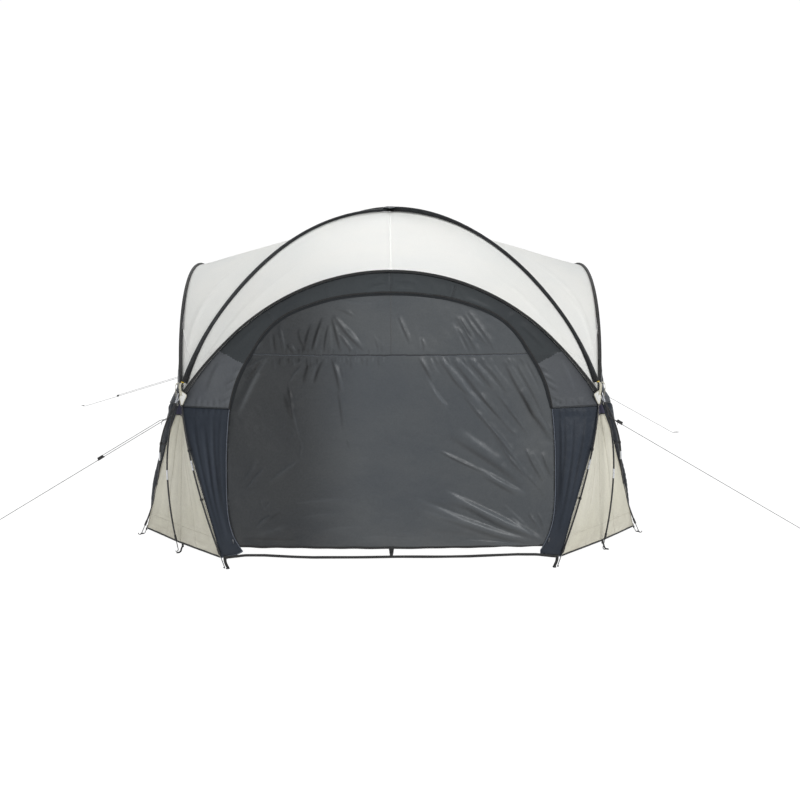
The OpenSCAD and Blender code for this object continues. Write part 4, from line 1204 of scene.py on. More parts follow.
def wall_sheet(outline, step, k, strokes, off, t, undulate=3.0, fine=0.7, extra=None, weight=1.0, pulled=True):
    P, F, E = fill(outline, step)
    x, z = P[:, 0], P[:, 1]
    h, tone = wall_height(x, z, k, E, strokes, undulate, fine)
    if extra is not None:
        h = h + extra(x, z, E)
    y = wall_y(x, z)
    # slope of the wall, so the folds stand square to it
    sl = (1935 - 1652.6) / 2072.5
    n = V(0, -1, sl) / math.hypot(1, sl)
    v = np.stack([x, y, z], 1) + (h * weight + off + (wall_out(x, z, k) if pulled else 0))[:, None] * n
    vv, ff = shell(v, F, t, n)
    flat = np.tile(np.stack([x, z, E], 1), (2, 1))
    return vv, ff, flat, np.tile(tone, 2), P, F, E


def wall_line(pts, off=0.0):
    """Points (x, z) laid on the wall, off outwards."""
    pts = np.asarray(pts, float)
    y = wall_y(pts[:, 0], pts[:, 1])
    sl = (1935 - 1652.6) / 2072.5
    n = V(0, -1, sl) / math.hypot(1, sl)
    return np.stack([pts[:, 0], y, pts[:, 1]], 1) + off * n, np.tile(n, (len(pts), 1))


def offset_line(line, d):
    """Moves an (x, z) line to its right by d."""
    t = np.gradient(line, axis=0)
    t /= np.linalg.norm(t, axis=1)[:, None]
    return line + np.stack([t[:, 1], -t[:, 0]], 1) * d


shift_tab = np.array([[60, 0], [250, 10], [400, 22], [500, 26], [620, 27], [700, 29], [790, 34], [880, 40], [940, 40], [1000, 38], [1060, 33], [1095, 24], [1150, 0]], float)
bulge_tab = np.array([[60, 0], [200, 8], [300, 20], [500, 40], [620, 43], [700, 46], [790, 58], [880, 67], [940, 73], [1000, 78], [1060, 78], [1100, 70], [1150, 50], [1205, 24], [1265, 0]], float)


def smooth(q):
    q = np.clip(q, 0, 1)
    return q * q * (3 - 2 * q)


def wall_out(x, z, k):
    """How far the cloth beside a leg is pulled out towards it by the clips, over x and z."""
    w = np.clip(xe(z) - dxs(z), 60, 380)
    q = (xe(z) - np.abs(x)) / w
    a = np.interp(z, shift_tab[:, 0], shift_tab[:, 1])
    b = np.maximum(a, np.interp(z, bulge_tab[:, 0], bulge_tab[:, 1]) * (0.35 if k == 0 else 1.0))
    s = smooth(q / 0.22)
    return a * (1 - s) + b * s * (1 - smooth((q - 0.28) / 0.62))


arch_line = arch_pts[:, [0, 2]]
edge_line = np.vstack([[[xe(z), z] for z in np.arange(62, 1150, 24)], arch_line[::-1], arch_line[1:] * [-1, 1],
                       [[-xe(z), z] for z in np.arange(62, 1150, 24)[::-1]]])
for k, side in enumerate(SIDES):
    step_door = (9.5) if k == 0 else (15.0)
    strokes = strokes_of(k)
    body = "door_" + side
    # ---- door cloth: one piece from the hem to the top of the outline
    zb = hem_z - 26
    cut = np.vstack([[[dxs(zb), zb]], d_line[d_line[:, 1] > zb + 4], [[-dxs(zb), zb]]])
    c = cut.copy()
    t = tangents(c)
    c = c + np.stack([-t[:, 1], t[:, 0]], 1) * 3.0  # inwards
    if np.abs(c[:, 0]).max() > np.abs(cut[:, 0]).max():
        c = cut - np.stack([-t[:, 1], t[:, 0]], 1) * 3.0
    outline = c

    def seam_pull(x, z, e):
        d = np.abs(z - 1490)
        return -1.6 * np.exp(-(d / 7.0) ** 2) * (np.abs(x) < 990) - 0.8 * np.exp(-(np.abs(x) / 5.0) ** 2) * (z > 1490)

    vv, ff, flat, tone, P_, F_, E_ = wall_sheet(outline, step_door, k, strokes, 0.0, 1.2, 3.5, 0.6, seam_pull, pulled=False)
    big = noise(P_[:, 0], P_[:, 1], 31 + k, 1500, 8)
    # painted light and shade: a faint pool of light above the middle of the door, and its left part darkened more and
    # more towards the edge
    lf = np.clip((-P_[:, 0] - 150) / 600, 0, 1)
    painted_light_and_shade = 0.06 * np.exp(-((P_[:, 0] - 60) / 620) ** 2 - ((P_[:, 1] - 1350) / 600) ** 2) - 0.60 * lf * lf * (3 - 2 * lf)
    bag = Bag().add(vv, ff, 0, flat, tone + np.tile(painted_light_and_shade + 0.02 * big, 2))
    # straight seam with its two rows of stitches, and the upright one above it
    xs = np.arange(-1003, 1004, 9.0)
    z = 1490 + 1.2 * np.sin(xs / 37.0) + 1.0 * np.sin(xs / 13.0 + 1)
    lim = np.clip((1006 - np.abs(xs)) / 26, 0, 1)
    c, n = wall_line(np.stack([xs, z], 1), 0.0)
    hh, _ = wall_height(xs, z, k, 1000 + 0 * xs, strokes, 3.5, 0.6)
    c = c + n * ((hh * lim) - 0.6)[:, None]
    # the seam tape's dark colour stands partly for the stitching and partly for the shadow under the overlapping cloth
    # above: painted shadow
    v, f, fl = sweep(c, band(11, 1.3, 2), n)
    bag.add(v, f, 1, fl)
    v, f, fl = sweep(c - V(0, 0, 6.2) + n * 0.4, band(2.2, 1.2, 2), n)
    bag.add(v, f, 3, fl)
    zs = np.arange(1498, 1918, 9.0)
    c, n = wall_line(np.stack([1.0 * np.sin(zs / 60.0), zs], 1), 0.0)
    hh, _ = wall_height(0 * zs, zs, k, np.minimum(1925 - zs, 1000), strokes, 3.5, 0.6)
    v, f, fl = sweep(c + n * (hh + 0.1)[:, None], band(8, 1.0, 2), n)
    bag.add(v, f, 2, fl)
    o = bag.obj("door_cloth_" + side, [DOOR, SEAM, DOOR, PIPING], body=None, sharp=0, slot="wall_fabric")
    a3 = rot(V(0, -1.7333, 1.52), k)
    b3 = rot(V(0, -1.7333, 1.44), k)
    if k:
        o.data.transform(Matrix.Rotation(math.pi / 2 * k, 4, "Z"))
    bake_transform(o)
    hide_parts("door_top_" + side, "door_" + side)

    # ---- hem: bound edge, webbing tab and buckle
    hem = Bag()
    hx = np.arange(-1091, 1092, 9.0)
    hz = hem_z - 22 - 3.0 * np.cos(hx / 1100 * math.pi) + 1.6 * noise(hx, 0 * hx, 51 + k, 260, 8)
    lim = np.clip((1100 - np.abs(hx)) / 60, 0, 1)
    c, n = wall_line(np.stack([hx, hz], 1), 0.0)
    v, f, fl = sweep(c, band(17, 3.8, 3), n)
    hem.add(rot(v, k), f, 0, fl)
    y0 = float(wall_y(V(0.0), V(hem_z - 28.6))[0])
    ys = fab_foot[1] - 13
    tab = spline([(0, y0 - 1.5, hem_z - 16), (0, y0 - 3, hem_z - 29), (0, mix(y0, ys, 0.6), hem_z - 37), (0, ys - 1, hem_z - 46), (0, ys + 0.4, hem_z - 64), (0, ys + 1.0, hem_z - 84)], 4)
    up = np.cross(tangents(tab), V(1, 0, 0))
    up *= np.where(up[:, 1] < 0, 1, -1)[:, None]
    wd = np.interp(lengths(tab), [0, 20, 45, 80], [38, 36, 27, 20])
    v, f, fl = sweep(tab, np.array([band(q, 2.0, 2) for q in wd]), up)
    hem.add(rot(v, k), f, 1, fl)
    # ladder buckle: a frame with two slots and a bar
    for zz in (0, 10, 20):
        v, f = box_mesh((-15, ys - 4.2, hem_z - 62 + zz - 1.4), (15, ys - 1.0, hem_z - 62 + zz + 2.4), 1.3)
        hem.add(rot(v, k), f, 2)
    for xx in (-15, 11.8):
        v, f = box_mesh((xx, ys - 4.2, hem_z - 63), (xx + 3.2, ys - 1.0, hem_z - 40), 1.3)
        hem.add(rot(v, k), f, 2)
    hem = hem.obj("hem_binding_" + side, [BIND, BLACK_WEB, BLACKP], body=body, sharp=50, slot="black_binding")
    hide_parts("door_hem_" + side)

    # ---- eave band: from the door's outline to the arch
    di = d_line[d_line[:, 1] > 1080]
    t = tangents(di)
    nrm = np.stack([-t[:, 1], t[:, 0]], 1)
    if (nrm * (di - V(0, 1100))).sum() < 0:
        nrm = -nrm
    inner = di + nrm * 4.0
    eo = edge_line[edge_line[:, 1] > 1076]
    te = tangents(eo)
    ne = np.stack([-te[:, 1], te[:, 0]], 1)
    if (ne * (eo - V(0, 1100))).sum() > 0:
        ne = -ne
    outer = eo + ne * 3.0
    outline = np.vstack([inner, outer[::-1]])
    es = []
    g = np.random.RandomState(200 + k)
    # small pulls beside the outline, and the seam folds
    for sx in (-1, 1):
        for j in range(9):
            z0 = 1395 - 34 * j + g.uniform(-8, 8)
            x0 = float(dxs(z0)) + 8
            l = g.uniform(60, 105)
            es.append([(1 if j % 2 else -1) * g.uniform(3.5, 6.0), g.uniform(8, 11), sx * x0, z0, sx * (x0 + l * 0.5), z0 - l * 0.33, sx * (x0 + l), z0 - l * 0.62])
        for j in range(11):
            x0 = 1195 + 22 * j + g.uniform(-4, 4)
            es.append([(1 if j % 2 else -1) * g.uniform(2.5, 4.5), 8, sx * x0, 1098, sx * (x0 - 2), 1120, sx * (x0 - 3), 1098 + g.uniform(45, 70)])
    for (a0, b0), (a1, b1) in SEAMS:
        for sx in ((-1, 1) if a0 else (1,)):
            for dd, am in ((-13, 2.4), (13, -2.4)):
                es.append([am, 9, sx * (a0 + dd), b0 + 6, sx * mix(a0 + dd, a1 + dd, 0.5), mix(b0, b1, 0.5), sx * (a1 + dd), b1 - 6])
    es += [[5, 12, -175, 1945, -110, 1962, -30, 1975], [-5, 10, -160, 1972, -90, 1988, -20, 1998], [4.5, 10, -200, 1938, -130, 1942, -40, 1947],
           [4, 12, -190, 1990, -110, 2020, -60, 2040], [4, 11, 20, 1950, 90, 1955, 160, 1950], [-3, 10, 30, 2000, 110, 2005, 180, 1990],
           [3.5, 16, 520, 1890, 620, 1850, 740, 1795], [-3.5, 16, -800, 1770, -680, 1830, -560, 1868], [4, 14, -1110, 1540, -1010, 1640, -930, 1700],
           [-4, 14, 930, 1690, 1010, 1620, 1110, 1520], [4, 18, 1230, 1440, 1290, 1330, 1340, 1200], [-4, 18, -1340, 1200, -1290, 1330, -1230, 1440]]
    if k:
        es = [[s[0] * g.uniform(0.7, 1.2)] + s[1:] for s in es if g.uniform() > 0.1]

    def groove(x, z, e):
        h = 0 * x
        for (a0, b0), (a1, b1) in SEAMS:
            for sx in ((-1, 1) if a0 else (1,)):
                p, q = V(sx * a0, b0), V(sx * a1, b1)
                d = q - p
                l = np.linalg.norm(d)
                t_ = np.clip(((x - p[0]) * d[0] + (z - p[1]) * d[1]) / l ** 2, 0, 1)
                dd = np.hypot(x - p[0] - t_ * d[0], z - p[1] - t_ * d[1])
                h = h - 2.0 * np.exp(-(dd / 8) ** 2)
        return h

    vv, ff, flat, tone, P_, F_, E_ = wall_sheet(outline, 12.0, k, es, 7.0, 1.2, 1.6, 0.7, groove)
    cx, cz = P_[F_].mean(1).T
    (a0, b0), (a1, b1) = SEAMS[3]
    below = (cz < b0 + (np.abs(cx) - a0) * (b1 - b0) / (a1 - a0)) & (np.abs(cx) > 900)
    nf = len(F_)
    mi = below.astype(int)
    bag = Bag()
    # painted light and shade: lighter along the middle of the band, darker close to its outer edge where it meets the
    # sleeves and legs, and darker on its lower part at the right end
    far = np.min(np.hypot(P_[:, :1] - edge_line[None, :, 0], P_[:, 1:] - edge_line[None, :, 1]), axis=1)
    lt = 0.30 * np.exp(-(P_[:, 0] / 560) ** 2) - 0.45 * np.exp(-far / 28) - 0.12 * (P_[:, 0] > 900) * (P_[:, 1] < 1480)
    lt = tone + np.tile(lt, 2)
    bag.add(vv, ff, 0, flat, lt)
    bag.m[:nf] = mi.tolist()
    bag.m[nf:2 * nf] = mi.tolist()
    for (a0, b0), (a1, b1) in SEAMS:
        for sx in ((-1, 1) if a0 else (1,)):
            q = np.stack([np.linspace(sx * a0, sx * a1, 16), np.linspace(b0 + 6, b1 - 3, 16)], 1)
            c, n = wall_line(q, 6.2)
            v, f, fl = sweep(c, band(7, 1.6, 2), n)
            bag.add(v, f, 2, fl)
    # the zip's dark flap inside the outline, over the door's edge; it is made this dark to stand in for the shadow that
    # the overhanging eave edge casts on the door, so it is partly painted shadow
    c, n = wall_line(di - nrm * 7, 4.6)
    c = c + n * (0.7 * noise(lengths(c), 0 * c[:, 0], 140 + k, 90, 10))[:, None]
    L = lengths(c)
    wd = 4 + 15 * np.clip(np.minimum(L, L[-1] - L) / 90, 0, 1)
    v, f, fl = sweep(c, np.array([band(q, 1.2, 3) for q in wd]), n)
    bag.add(v, f, 4, fl)
    # rolled edge that overhangs the door
    line = di + nrm * 5.0
    c, n = wall_line(line, 6.0)
    wob = noise(lengths(c), 0 * c[:, 0], 130 + k, 140, 10)
    c = c + n * (0.8 * wob)[:, None]
    v, f, fl = sweep(c, band(11, 5.0, 3), n)
    bag.add(v, f, 3, fl)
    bag.v = [rot(q, k) for q in bag.v]
    o = bag.obj("eave_" + side, [EAVE, EAVE_LOW, SEAM, BIND, FLAP_SHADOW], sharp=0, slot="dark_fabric")
    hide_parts("eave_band_" + side)

    # ---- wings: upright cloth between the door's side and the leg
    for s_, tag in ((-1, "a"), (1, "b")):
        g = np.random.RandomState(300 + 10 * k + s_)
        zl = np.arange(105, 1093, 14.0)
        zin, drop = (104, 30.0) if k or s_ < 0 else (80, 22.0)
        zl = np.concatenate([[zin], zl[zl > zin + 8]])
        left = np.stack([dxs(zl) + 6 - drop * np.clip((250 - zl) / 146, 0, 1) ** 2, zl], 1)
        zr = np.arange(62, 1093, 14.0)
        right = np.stack([xe(zr) - 3, zr], 1)
        bot = spline([right[0], (mix(right[0][0], left[0][0], 0.35), mix(62, zin, 0.26)), (mix(right[0][0], left[0][0], 0.7), mix(62, zin, 0.5)), left[0]], 10)
        outline = np.vstack([left[::-1], bot[::-1][1:-1], right, [[mix(xe(1092) - 3, dxs(1092) + 6, q), 1092] for q in np.linspace(0, 1, 26)[1:-1]]])
        outline[:, 0] *= s_
        ws = []
        for j in range(9):
            u0 = (j + 0.6) / 9.2 + g.uniform(-0.03, 0.03)
            top = g.uniform(0.86, 1.0) if j % 3 else 1.0
            lowz = g.uniform(0.02, 0.25)
            line = []
            for q in (top, mix(top, lowz, 0.35), mix(top, lowz, 0.7), lowz):
                z_ = mix(100, 1080, q)
                uu = u0 + g.uniform(-0.025, 0.025)
                line += [s_ * mix(dxs(z_) + 6, xe(z_) - 3, np.clip(uu, 0.17, 0.94)), z_]
            ws.append([(1 if j % 2 else -1) * g.uniform(5, 9), g.uniform(10, 17)] + [float(q) for q in line])
        # the gathers at the seam start clear of the zip slider's track
        for j in range(10):
            x0 = mix(dxs(1086) + 50, 1440, (j + g.uniform(0.2, 0.8)) / 10)
            ws.append([(1 if j % 2 else -1) * g.uniform(2.5, 4.5), 8, s_ * x0, 1086, s_ * (x0 + 1), 1060, s_ * (x0 + 2), 1086 - g.uniform(40, 90)])
        vv, ff, flat, tone, P_, F_, E_ = wall_sheet(outline, 11.0, k, ws, 3.0, 1.2, 2.0, 0.8)
        # painted shade: darker close to the wing's edges, and on the side walls darker towards the leg
        shade = -0.10 * np.exp(-E_ / 12) - (0.30 * np.exp(-((xe(P_[:, 1]) - np.abs(P_[:, 0])) / 130) ** 2) if k else 0.0)
        bag = Bag().add(vv, ff, 0, flat, tone + np.tile(shade, 2))
        # light grey piping along the door's side; its light colour partly stands for the glint along the zip's edge:
        # painted highlight
        q = np.stack([s_ * (left[:, 0] - 1.5), zl], 1)
        c, n = wall_line(q, 5.0)
        c = c + n * (0.9 * noise(zl, 0 * zl, 310 + k, 160, 10))[:, None]
        v, f, fl = sweep(c, band(7, 3.2, 3), n)
        bag.add(v, f, 1, fl)
        bb = bot.copy()
        bb[:, 0] *= s_
        c, n = wall_line(bb, 4.0)
        c = c + n * wall_out(bb[:, 0], bb[:, 1], k)[:, None]
        v, f, fl = sweep(c, band(9, 3.0, 3), n)
        bag.add(v, f, 1, fl)
        q = np.array([[s_ * mix(dxs(1091) + 4, xe(1091) - 4, q_), 1091] for q_ in np.linspace(0, 1, 30)])
        c, n = wall_line(q, 8.2)
        c = c + n * wall_out(q[:, 0], q[:, 1], k)[:, None]
        v, f, fl = sweep(c, band(6, 2.4, 3), n)
        bag.add(v, f, 2, fl)
        bag.v = [rot(q_, k) for q_ in bag.v]
        o = bag.obj("wing_%s_%s" % (side, tag), [SLATE, PIPING, SEAM], sharp=0, slot="slate_fabric")
        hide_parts("side_wings")

    # ---- zip tape behind the outline, with its coil of teeth
    tape = Bag()
    zt = d_line[d_line[:, 1] > 118]
    c, n = wall_line(zt, -2.4)
    v, f, fl = sweep(c, band(26, 1.0, 2), n)
    tape.add(v, f, 0, fl)
    c, n = wall_line(zt, -0.4)
    v, f, fl = sweep(c, band(5.0, 2.6, 3), n)
    tape.add(v, f, 1, fl)
    tape.v = [rot(q_, k) for q_ in tape.v]
    tape = tape.obj("zip_track_" + side, [ZIPT, BLACKP], sharp=50, slot="black_binding")
    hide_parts("zip_tapes")

# ------------------------------------------------------------------ corners
def flip(p):
    return np.stack([-p[..., 1], -p[..., 0], p[..., 2]], -1)


def to_mid(t, u, gap=0.0):
    t, u = np.asarray(t, float)[..., None], np.asarray(u, float)[..., None]
    f = edge_at(t[..., 0])
    f[..., 1] -= np.interp(f[..., 2], shift_tab[:, 0], shift_tab[:, 1])
    m = fab_hub + (fab_mid - fab_hub) * t
    w = np.linalg.norm(m - f, axis=-1, keepdims=True)
    return f + (m - f) * (u + (1 - u) * np.minimum(0.9, gap / np.maximum(w, 1e-6)))


for k in range(4):
    tag = ("front_right", "rear_right", "rear_left", "front_left")[k]
    nt, nu = ((120, 25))
    tt, uu = np.linspace(0.098, 0.993, nt), np.linspace(0, 1, nu)
    TT, UU = np.meshgrid(tt, uu, indexing="ij")
    halves = []
    for h_ in (0, 1):
        p = to_mid(TT, UU, 2.0)
        wdt = np.linalg.norm(fab_mid - fab_foot) * TT
        a_, b_ = UU * wdt, (1 - TT) * 1090
        # soft upright folds, none at the edges
        st = []
        g = np.random.RandomState(400 + 10 * k + h_)
        for j in range(5):
            u0 = (j + 0.8) / 5.6 + g.uniform(-0.05, 0.05)
            t0, t1 = g.uniform(0.12, 0.3), g.uniform(0.75, 0.98)
            line = []
            for q in (0, 0.33, 0.66, 1):
                t_ = mix(t0, t1, q)
                line += [(u0 + g.uniform(-0.03, 0.03)) * np.linalg.norm(fab_mid - fab_foot) * t_, (1 - t_) * 1090]
            st.append([(1 if j % 2 else -1) * g.uniform(3.0, 6.0), g.uniform(16, 30)] + line)
        st.append([-3.0, 9, 20, 148, 190, 152, 400, 150])
        st.append([2.5, 10, 30, 60, 200, 54, 380, 58])
        hh, tn = folds(a_.ravel(), b_.ravel(), st)
        hh = hh + 2.6 * noise(a_.ravel(), b_.ravel(), 420 + k + 10 * h_, 380, 12) + 0.6 * noise(a_.ravel(), b_.ravel(), 430 + k, 60, 16)
        seam_u = 0.6
        ds = np.abs(a_.ravel() - seam_u * wdt.ravel())
        hh = hh - 1.6 * np.exp(-(ds / 6) ** 2)
        e_ = np.minimum(np.minimum(a_, wdt - a_), b_ + 1e-6)
        lim = np.clip(e_ / 24, 0, 1).ravel()
        hh = (hh * lim).reshape(TT.shape)
        n = np.cross(fab_foot - fab_hub, fab_mid - fab_hub)
        n = unit(n if n[0] > 0 else -n)
        p = p + (hh)[..., None] * n
        # tone: painted highlight and shade of the folds, and a darker line along the seam
        tn = (0.35 * tn - 0.035 * np.exp(-(ds / 4) ** 2)).reshape(TT.shape)
        halves.append((p, n, a_, b_, e_, tn))
    p1, n1, a1_, b1_, e1_, tn1 = halves[0]
    p2, n2, a2_, b2_, e2_, tn2 = halves[1]
    p2 = flip(p2)[:, ::-1]
    allp = np.concatenate([p1, p2[:, 1:]], 1)
    fa = np.concatenate([a1_, (2 * (np.linalg.norm(fab_mid - fab_foot) * TT) - a2_[:, ::-1])[:, 1:]], 1)
    fb = np.concatenate([b1_, b2_[:, ::-1][:, 1:]], 1)
    fe = np.concatenate([e1_, e2_[:, ::-1][:, 1:]], 1)
    ft = np.concatenate([tn1, tn2[:, ::-1][:, 1:]], 1)
    a, b = allp.shape[:2]
    vv, ff = shell(allp.reshape(-1, 3), grid_faces(a, b), 1.2, V(1, -1, 0))
    bag = Bag().add(vv, ff, 0, np.tile(grid_flat(fa, fb, fe), (2, 1)), np.tile(ft.ravel(), 2))
    # bound lower edge, side bindings, flat seams
    low = allp[-1]
    v, f, fl = sweep(low + V(0, 0, -2), band(14, 3.0, 3), np.tile(unit(V(1, -1, 0)), (len(low), 1)))
    bag.add(v, f, 1, fl)
    for col in (0, b - 1):
        ed = allp[:, col]
        nn = n1 if col == 0 else flip(n1)
        v, f, fl = sweep(ed, band(9, 2.6, 3), np.tile(nn, (len(ed), 1)))
        bag.add(v, f, 2, fl)
    cu = int(0.6 * (nu - 1))
    for col, nn in ((cu, n1), (b - 1 - cu, flip(n1))):
        ed = allp[2:-1, col] + nn * 0.5
        v, f, fl = sweep(ed, band(9, 1.2, 2), np.tile(nn, (len(ed), 1)))
        bag.add(v, f, 3, fl)
    row = int(nt * 0.87)
    ed = allp[row, 1:b // 2] + n1 * 0.5
    v, f, fl = sweep(ed, band(8, 1.1, 2), np.tile(n1, (len(ed), 1)))
    bag.add(v, f, 3, fl)
    ed = allp[row, b // 2 + 1:-1] + flip(n1) * 0.5
    v, f, fl = sweep(ed, band(8, 1.1, 2), np.tile(flip(n1), (len(ed), 1)))
    bag.add(v, f, 3, fl)
    ed = allp[1:-1, b // 2]
    v, f, fl = sweep(ed + unit(V(1, -1, 0)) * 0.6, band(10, 1.6, 2), np.tile(unit(V(1, -1, 0)), (len(ed), 1)))
    bag.add(v, f, 3, fl)
    bag.v = [rot(q_, k) for q_ in bag.v]
    o = bag.obj("corner_panel_" + tag, [CREAM, BIND, CREAM_WEB, CREAM], sharp=0, slot="cream_fabric")
    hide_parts("corner_panels")

    # cap of darker cloth above the panel, folded round the crossing
    nt, nu = 14, 17
    tt, uu = np.linspace(0.012, 0.112, nt), np.linspace(0, 1, nu)
    TT, UU = np.meshgrid(tt, uu, indexing="ij")
    p = to_mid(TT, UU, 0.5)
    bul = 9 * np.sin(np.pi * UU) * np.clip(TT / 0.1, 0, 1) + 1.5 * noise(UU.ravel() * 60, TT.ravel() * 900, 450 + k, 40, 10).reshape(TT.shape) * np.sin(np.pi * UU)
    p = p + (4.0 + bul)[..., None] * n1
    c2 = np.concatenate([p, flip(p)[:, ::-1][:, 1:]], 1)
    a, b = c2.shape[:2]
    vv, ff = shell(c2.reshape(-1, 3), grid_faces(a, b), 1.2, V(1, -1, 0))
    ca, cb = np.meshgrid(np.arange(a) * 8.0, np.arange(b) * 6.0, indexing="ij")
    bag = Bag().add(vv, ff, 0, np.tile(grid_flat(ca, cb, 0 * ca + 20), (2, 1)))
    ed = c2[-1]
    v, f, fl = sweep(ed, band(8, 2.6, 3), np.tile(unit(V(1, -1, 0)), (len(ed), 1)))
    bag.add(v, f, 1, fl)
    bag.v = [rot(q_, k) for q_ in bag.v]
    o = bag.obj("corner_cap_" + tag, [CAP, BIND], sharp=0, slot="slate_fabric")
    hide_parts("corner_caps")

    # pale webbing from the sleeve's end over the crossing, and the canopy's stitched corner beside it
    bag = Bag()
    for s_ in (-1, 1):
        q = spline([(1531, -1550, 1266), (1534, -1571, 1250), (1532, -1576, 1215), (1527, -1576, 1180), (1521, -1568, 1158)], 5)
        c = q * V(s_, 1, 1)
        up = np.tile(unit(V(s_ * 0.3, -1, 0.15)), (len(c), 1))
        v, f, fl = sweep(c, band(20, 2.2, 2), up)
        bag.add(v, f, 0, fl)
        for e_i in (3, len(c) // 2):
            v, f = box_mesh((-10.4, -2.2, -4), (10.4, 2.2, 4), 1.6)
            t_ = unit(c[e_i + 1] - c[e_i])
            bag.add(place(v, c[e_i], np.cross(up[0], t_), t_), f, 0)
        # corner patch of canopy cloth with a bound edge
        po = np.array([[1522, 1208], [1504, 1196], [1489, 1178], [1500, 1150], [1514, 1122], [1528, 1096], [1535, 1128], [1538, 1164], [1531, 1188]], float)
        po = spline(np.vstack([po, po[:1]]), 5)[:-1]
        Pp, Fp, Ep = fill(po, 5.0)
        bl = 5.0 * np.clip(Ep / 14, 0, 1) + 1.2 * noise(Pp[:, 0], Pp[:, 1], 470 + k, 40, 8) * np.clip(Ep / 10, 0, 1)
        v3 = np.stack([s_ * Pp[:, 0], -1571.5 - bl - 0.06 * (Pp[:, 1] - 1150), Pp[:, 1]], 1)
        vv, ff = shell(v3, Fp, 1.2, V(0, -1, 0))
        bag.add(vv, ff, 1, np.tile(np.stack([Pp[:, 0], Pp[:, 1], Ep], 1), (2, 1)))
        ring = np.stack([s_ * po[:, 0], -1572.5 - 0.06 * (po[:, 1] - 1150), po[:, 1]], 1)
        v, f, fl = sweep(ring, band(5, 2.0, 2), V(0, -1, 0.01), closed=True)
        bag.add(v, f, 0, fl)
    bag.v = [rot(q_, k) for q_ in bag.v]
    o = bag.obj("corner_webbing_" + tag, [CREAM_WEB, WHITE], sharp=50, slot="cream_webbing")
    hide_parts("corner_straps")

# ------------------------------------------------------------------ webbing on the floor and at the feet
for k, side in enumerate(SIDES):
    bag = Bag()
    x = np.linspace(-fab_foot[0] + 10, fab_foot[0] - 10, 120)
    z = corner_z + 4 + 1.4 * noise(x, 0 * x, 500 + k, 700, 8)
    z = z + 15 * np.interp(np.abs(x), [560, 700, 900, 1040, 1160], [0, 0.35, 1, 1, 0.1])
    c = np.stack([x, 0 * x + fab_foot[1] - 7, z], 1)
    tw = 0.10 * noise(x, 0 * x, 510 + k, 500, 8)
    up = np.stack([0 * x, -np.cos(tw), np.sin(tw)], 1)
    v, f, fl = sweep(c, band(20, 2.0, 2), up)
    bag.add(v, f, 0, fl)
    for s_ in (-1, 1):
        v, f = box_mesh((-16, -2.4, -10), (16, 2.4, 10), 2.0)
        bag.add(v + V(s_ * (fab_foot[0] - 16), fab_foot[1] - 7, corner_z + 5), f, 0)
    bag.v = [rot(q_, k) for q_ in bag.v]
    o = bag.obj("ground_strap_" + side, [BLACK_WEB], sharp=50, slot="black_webbing")
    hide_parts("ground_straps")


def foot_tab(seed, lean=0.0):
    """Webbing that comes down from the fabric's corner, lies on the floor and is folded round the eyelet."""
    g = np.random.RandomState(seed)
    bag = Bag()
    c = spline([(-24, lean, corner_z - 2), (-20, 0.94 * lean, corner_z - 14), (-9, 0.68 * lean, 28), (-1, 0.3 * lean, 9), (8, 0.05 * lean, 2.6), (18, 0, 1.5), (34, 0, 1.5)], 3)
    up = np.cross(tangents(c), V(0, 1, 0))
    up *= np.where(up[:, 2] + up[:, 0] > 0, 1, -1)[:, None]
    keep = c[:, 0] < 12
    v, f, fl = sweep(c[keep], band(20, 2.4, 2), up[keep])
    bag.add(v, f, 0, fl)
    # the eye: a ring of doubled webbing round the metal eyelet
    a = np.linspace(0, 2 * math.pi, 29)[:-1]
    ring = []
    for r_, z_ in ((9.4, 0.1), (9.4, 2.2), (10.6, 3.2), (13.2, 3.3), (14.6, 2.4), (14.8, 0.1)):
        ring.append(np.stack([22 + r_ * np.cos(a) * (1.0 if r_ < 10 else 1.02), r_ * np.sin(a) * 0.94 if r_ > 10 else r_ * np.sin(a), z_ + 0 * a], 1))
    v = np.vstack(ring)
    n = len(a)
    m = len(ring)
    f = [(i * n + j, i * n + (j + 1) % n, ((i + 1) % m) * n + (j + 1) % n, ((i + 1) % m) * n + j) for i in range(m) for j in range(n)]
    fl = np.stack([np.tile(a * 14, m), np.repeat(np.arange(m) * 3.0, n), np.full(n * m, 3.0)], 1)
    bag.add(v, [q[::-1] for q in f], 0, fl)
    # box of stitches where it is folded back
    v, f = box_mesh((-23.5, -10.4, corner_z - 24), (-15.5, 10.4, corner_z - 3), 2.2)
    bag.add(v + V(0, 0.9 * lean, 0), f, 0)
    return bag


tabs = Bag()
for k in range(4):
    b = foot_tab(600 + k)
    vs = np.concatenate(b.v)
    tabs.add(rot_corner(vs + V(fs + 4, 28, 0), k), b.f, 0, np.concatenate(b.flat))
for k in range(4):
    for s_ in (-1, 1):
        b = foot_tab(620 + 2 * k + s_, -27.0)
        vs = np.concatenate(b.v) + V(half_w - 4, -foot_x + 30, 0)
        ff = b.f
        if s_ < 0:
            vs = vs * V(-1, 1, 1)
            ff = [q[::-1] for q in ff]
        tabs.add(rot(vs, k), ff, 0, np.concatenate(b.flat))
o = tabs.obj("foot_webbing", [BLACK_WEB], sharp=50, slot="black_webbing")
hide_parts("foot_tabs")

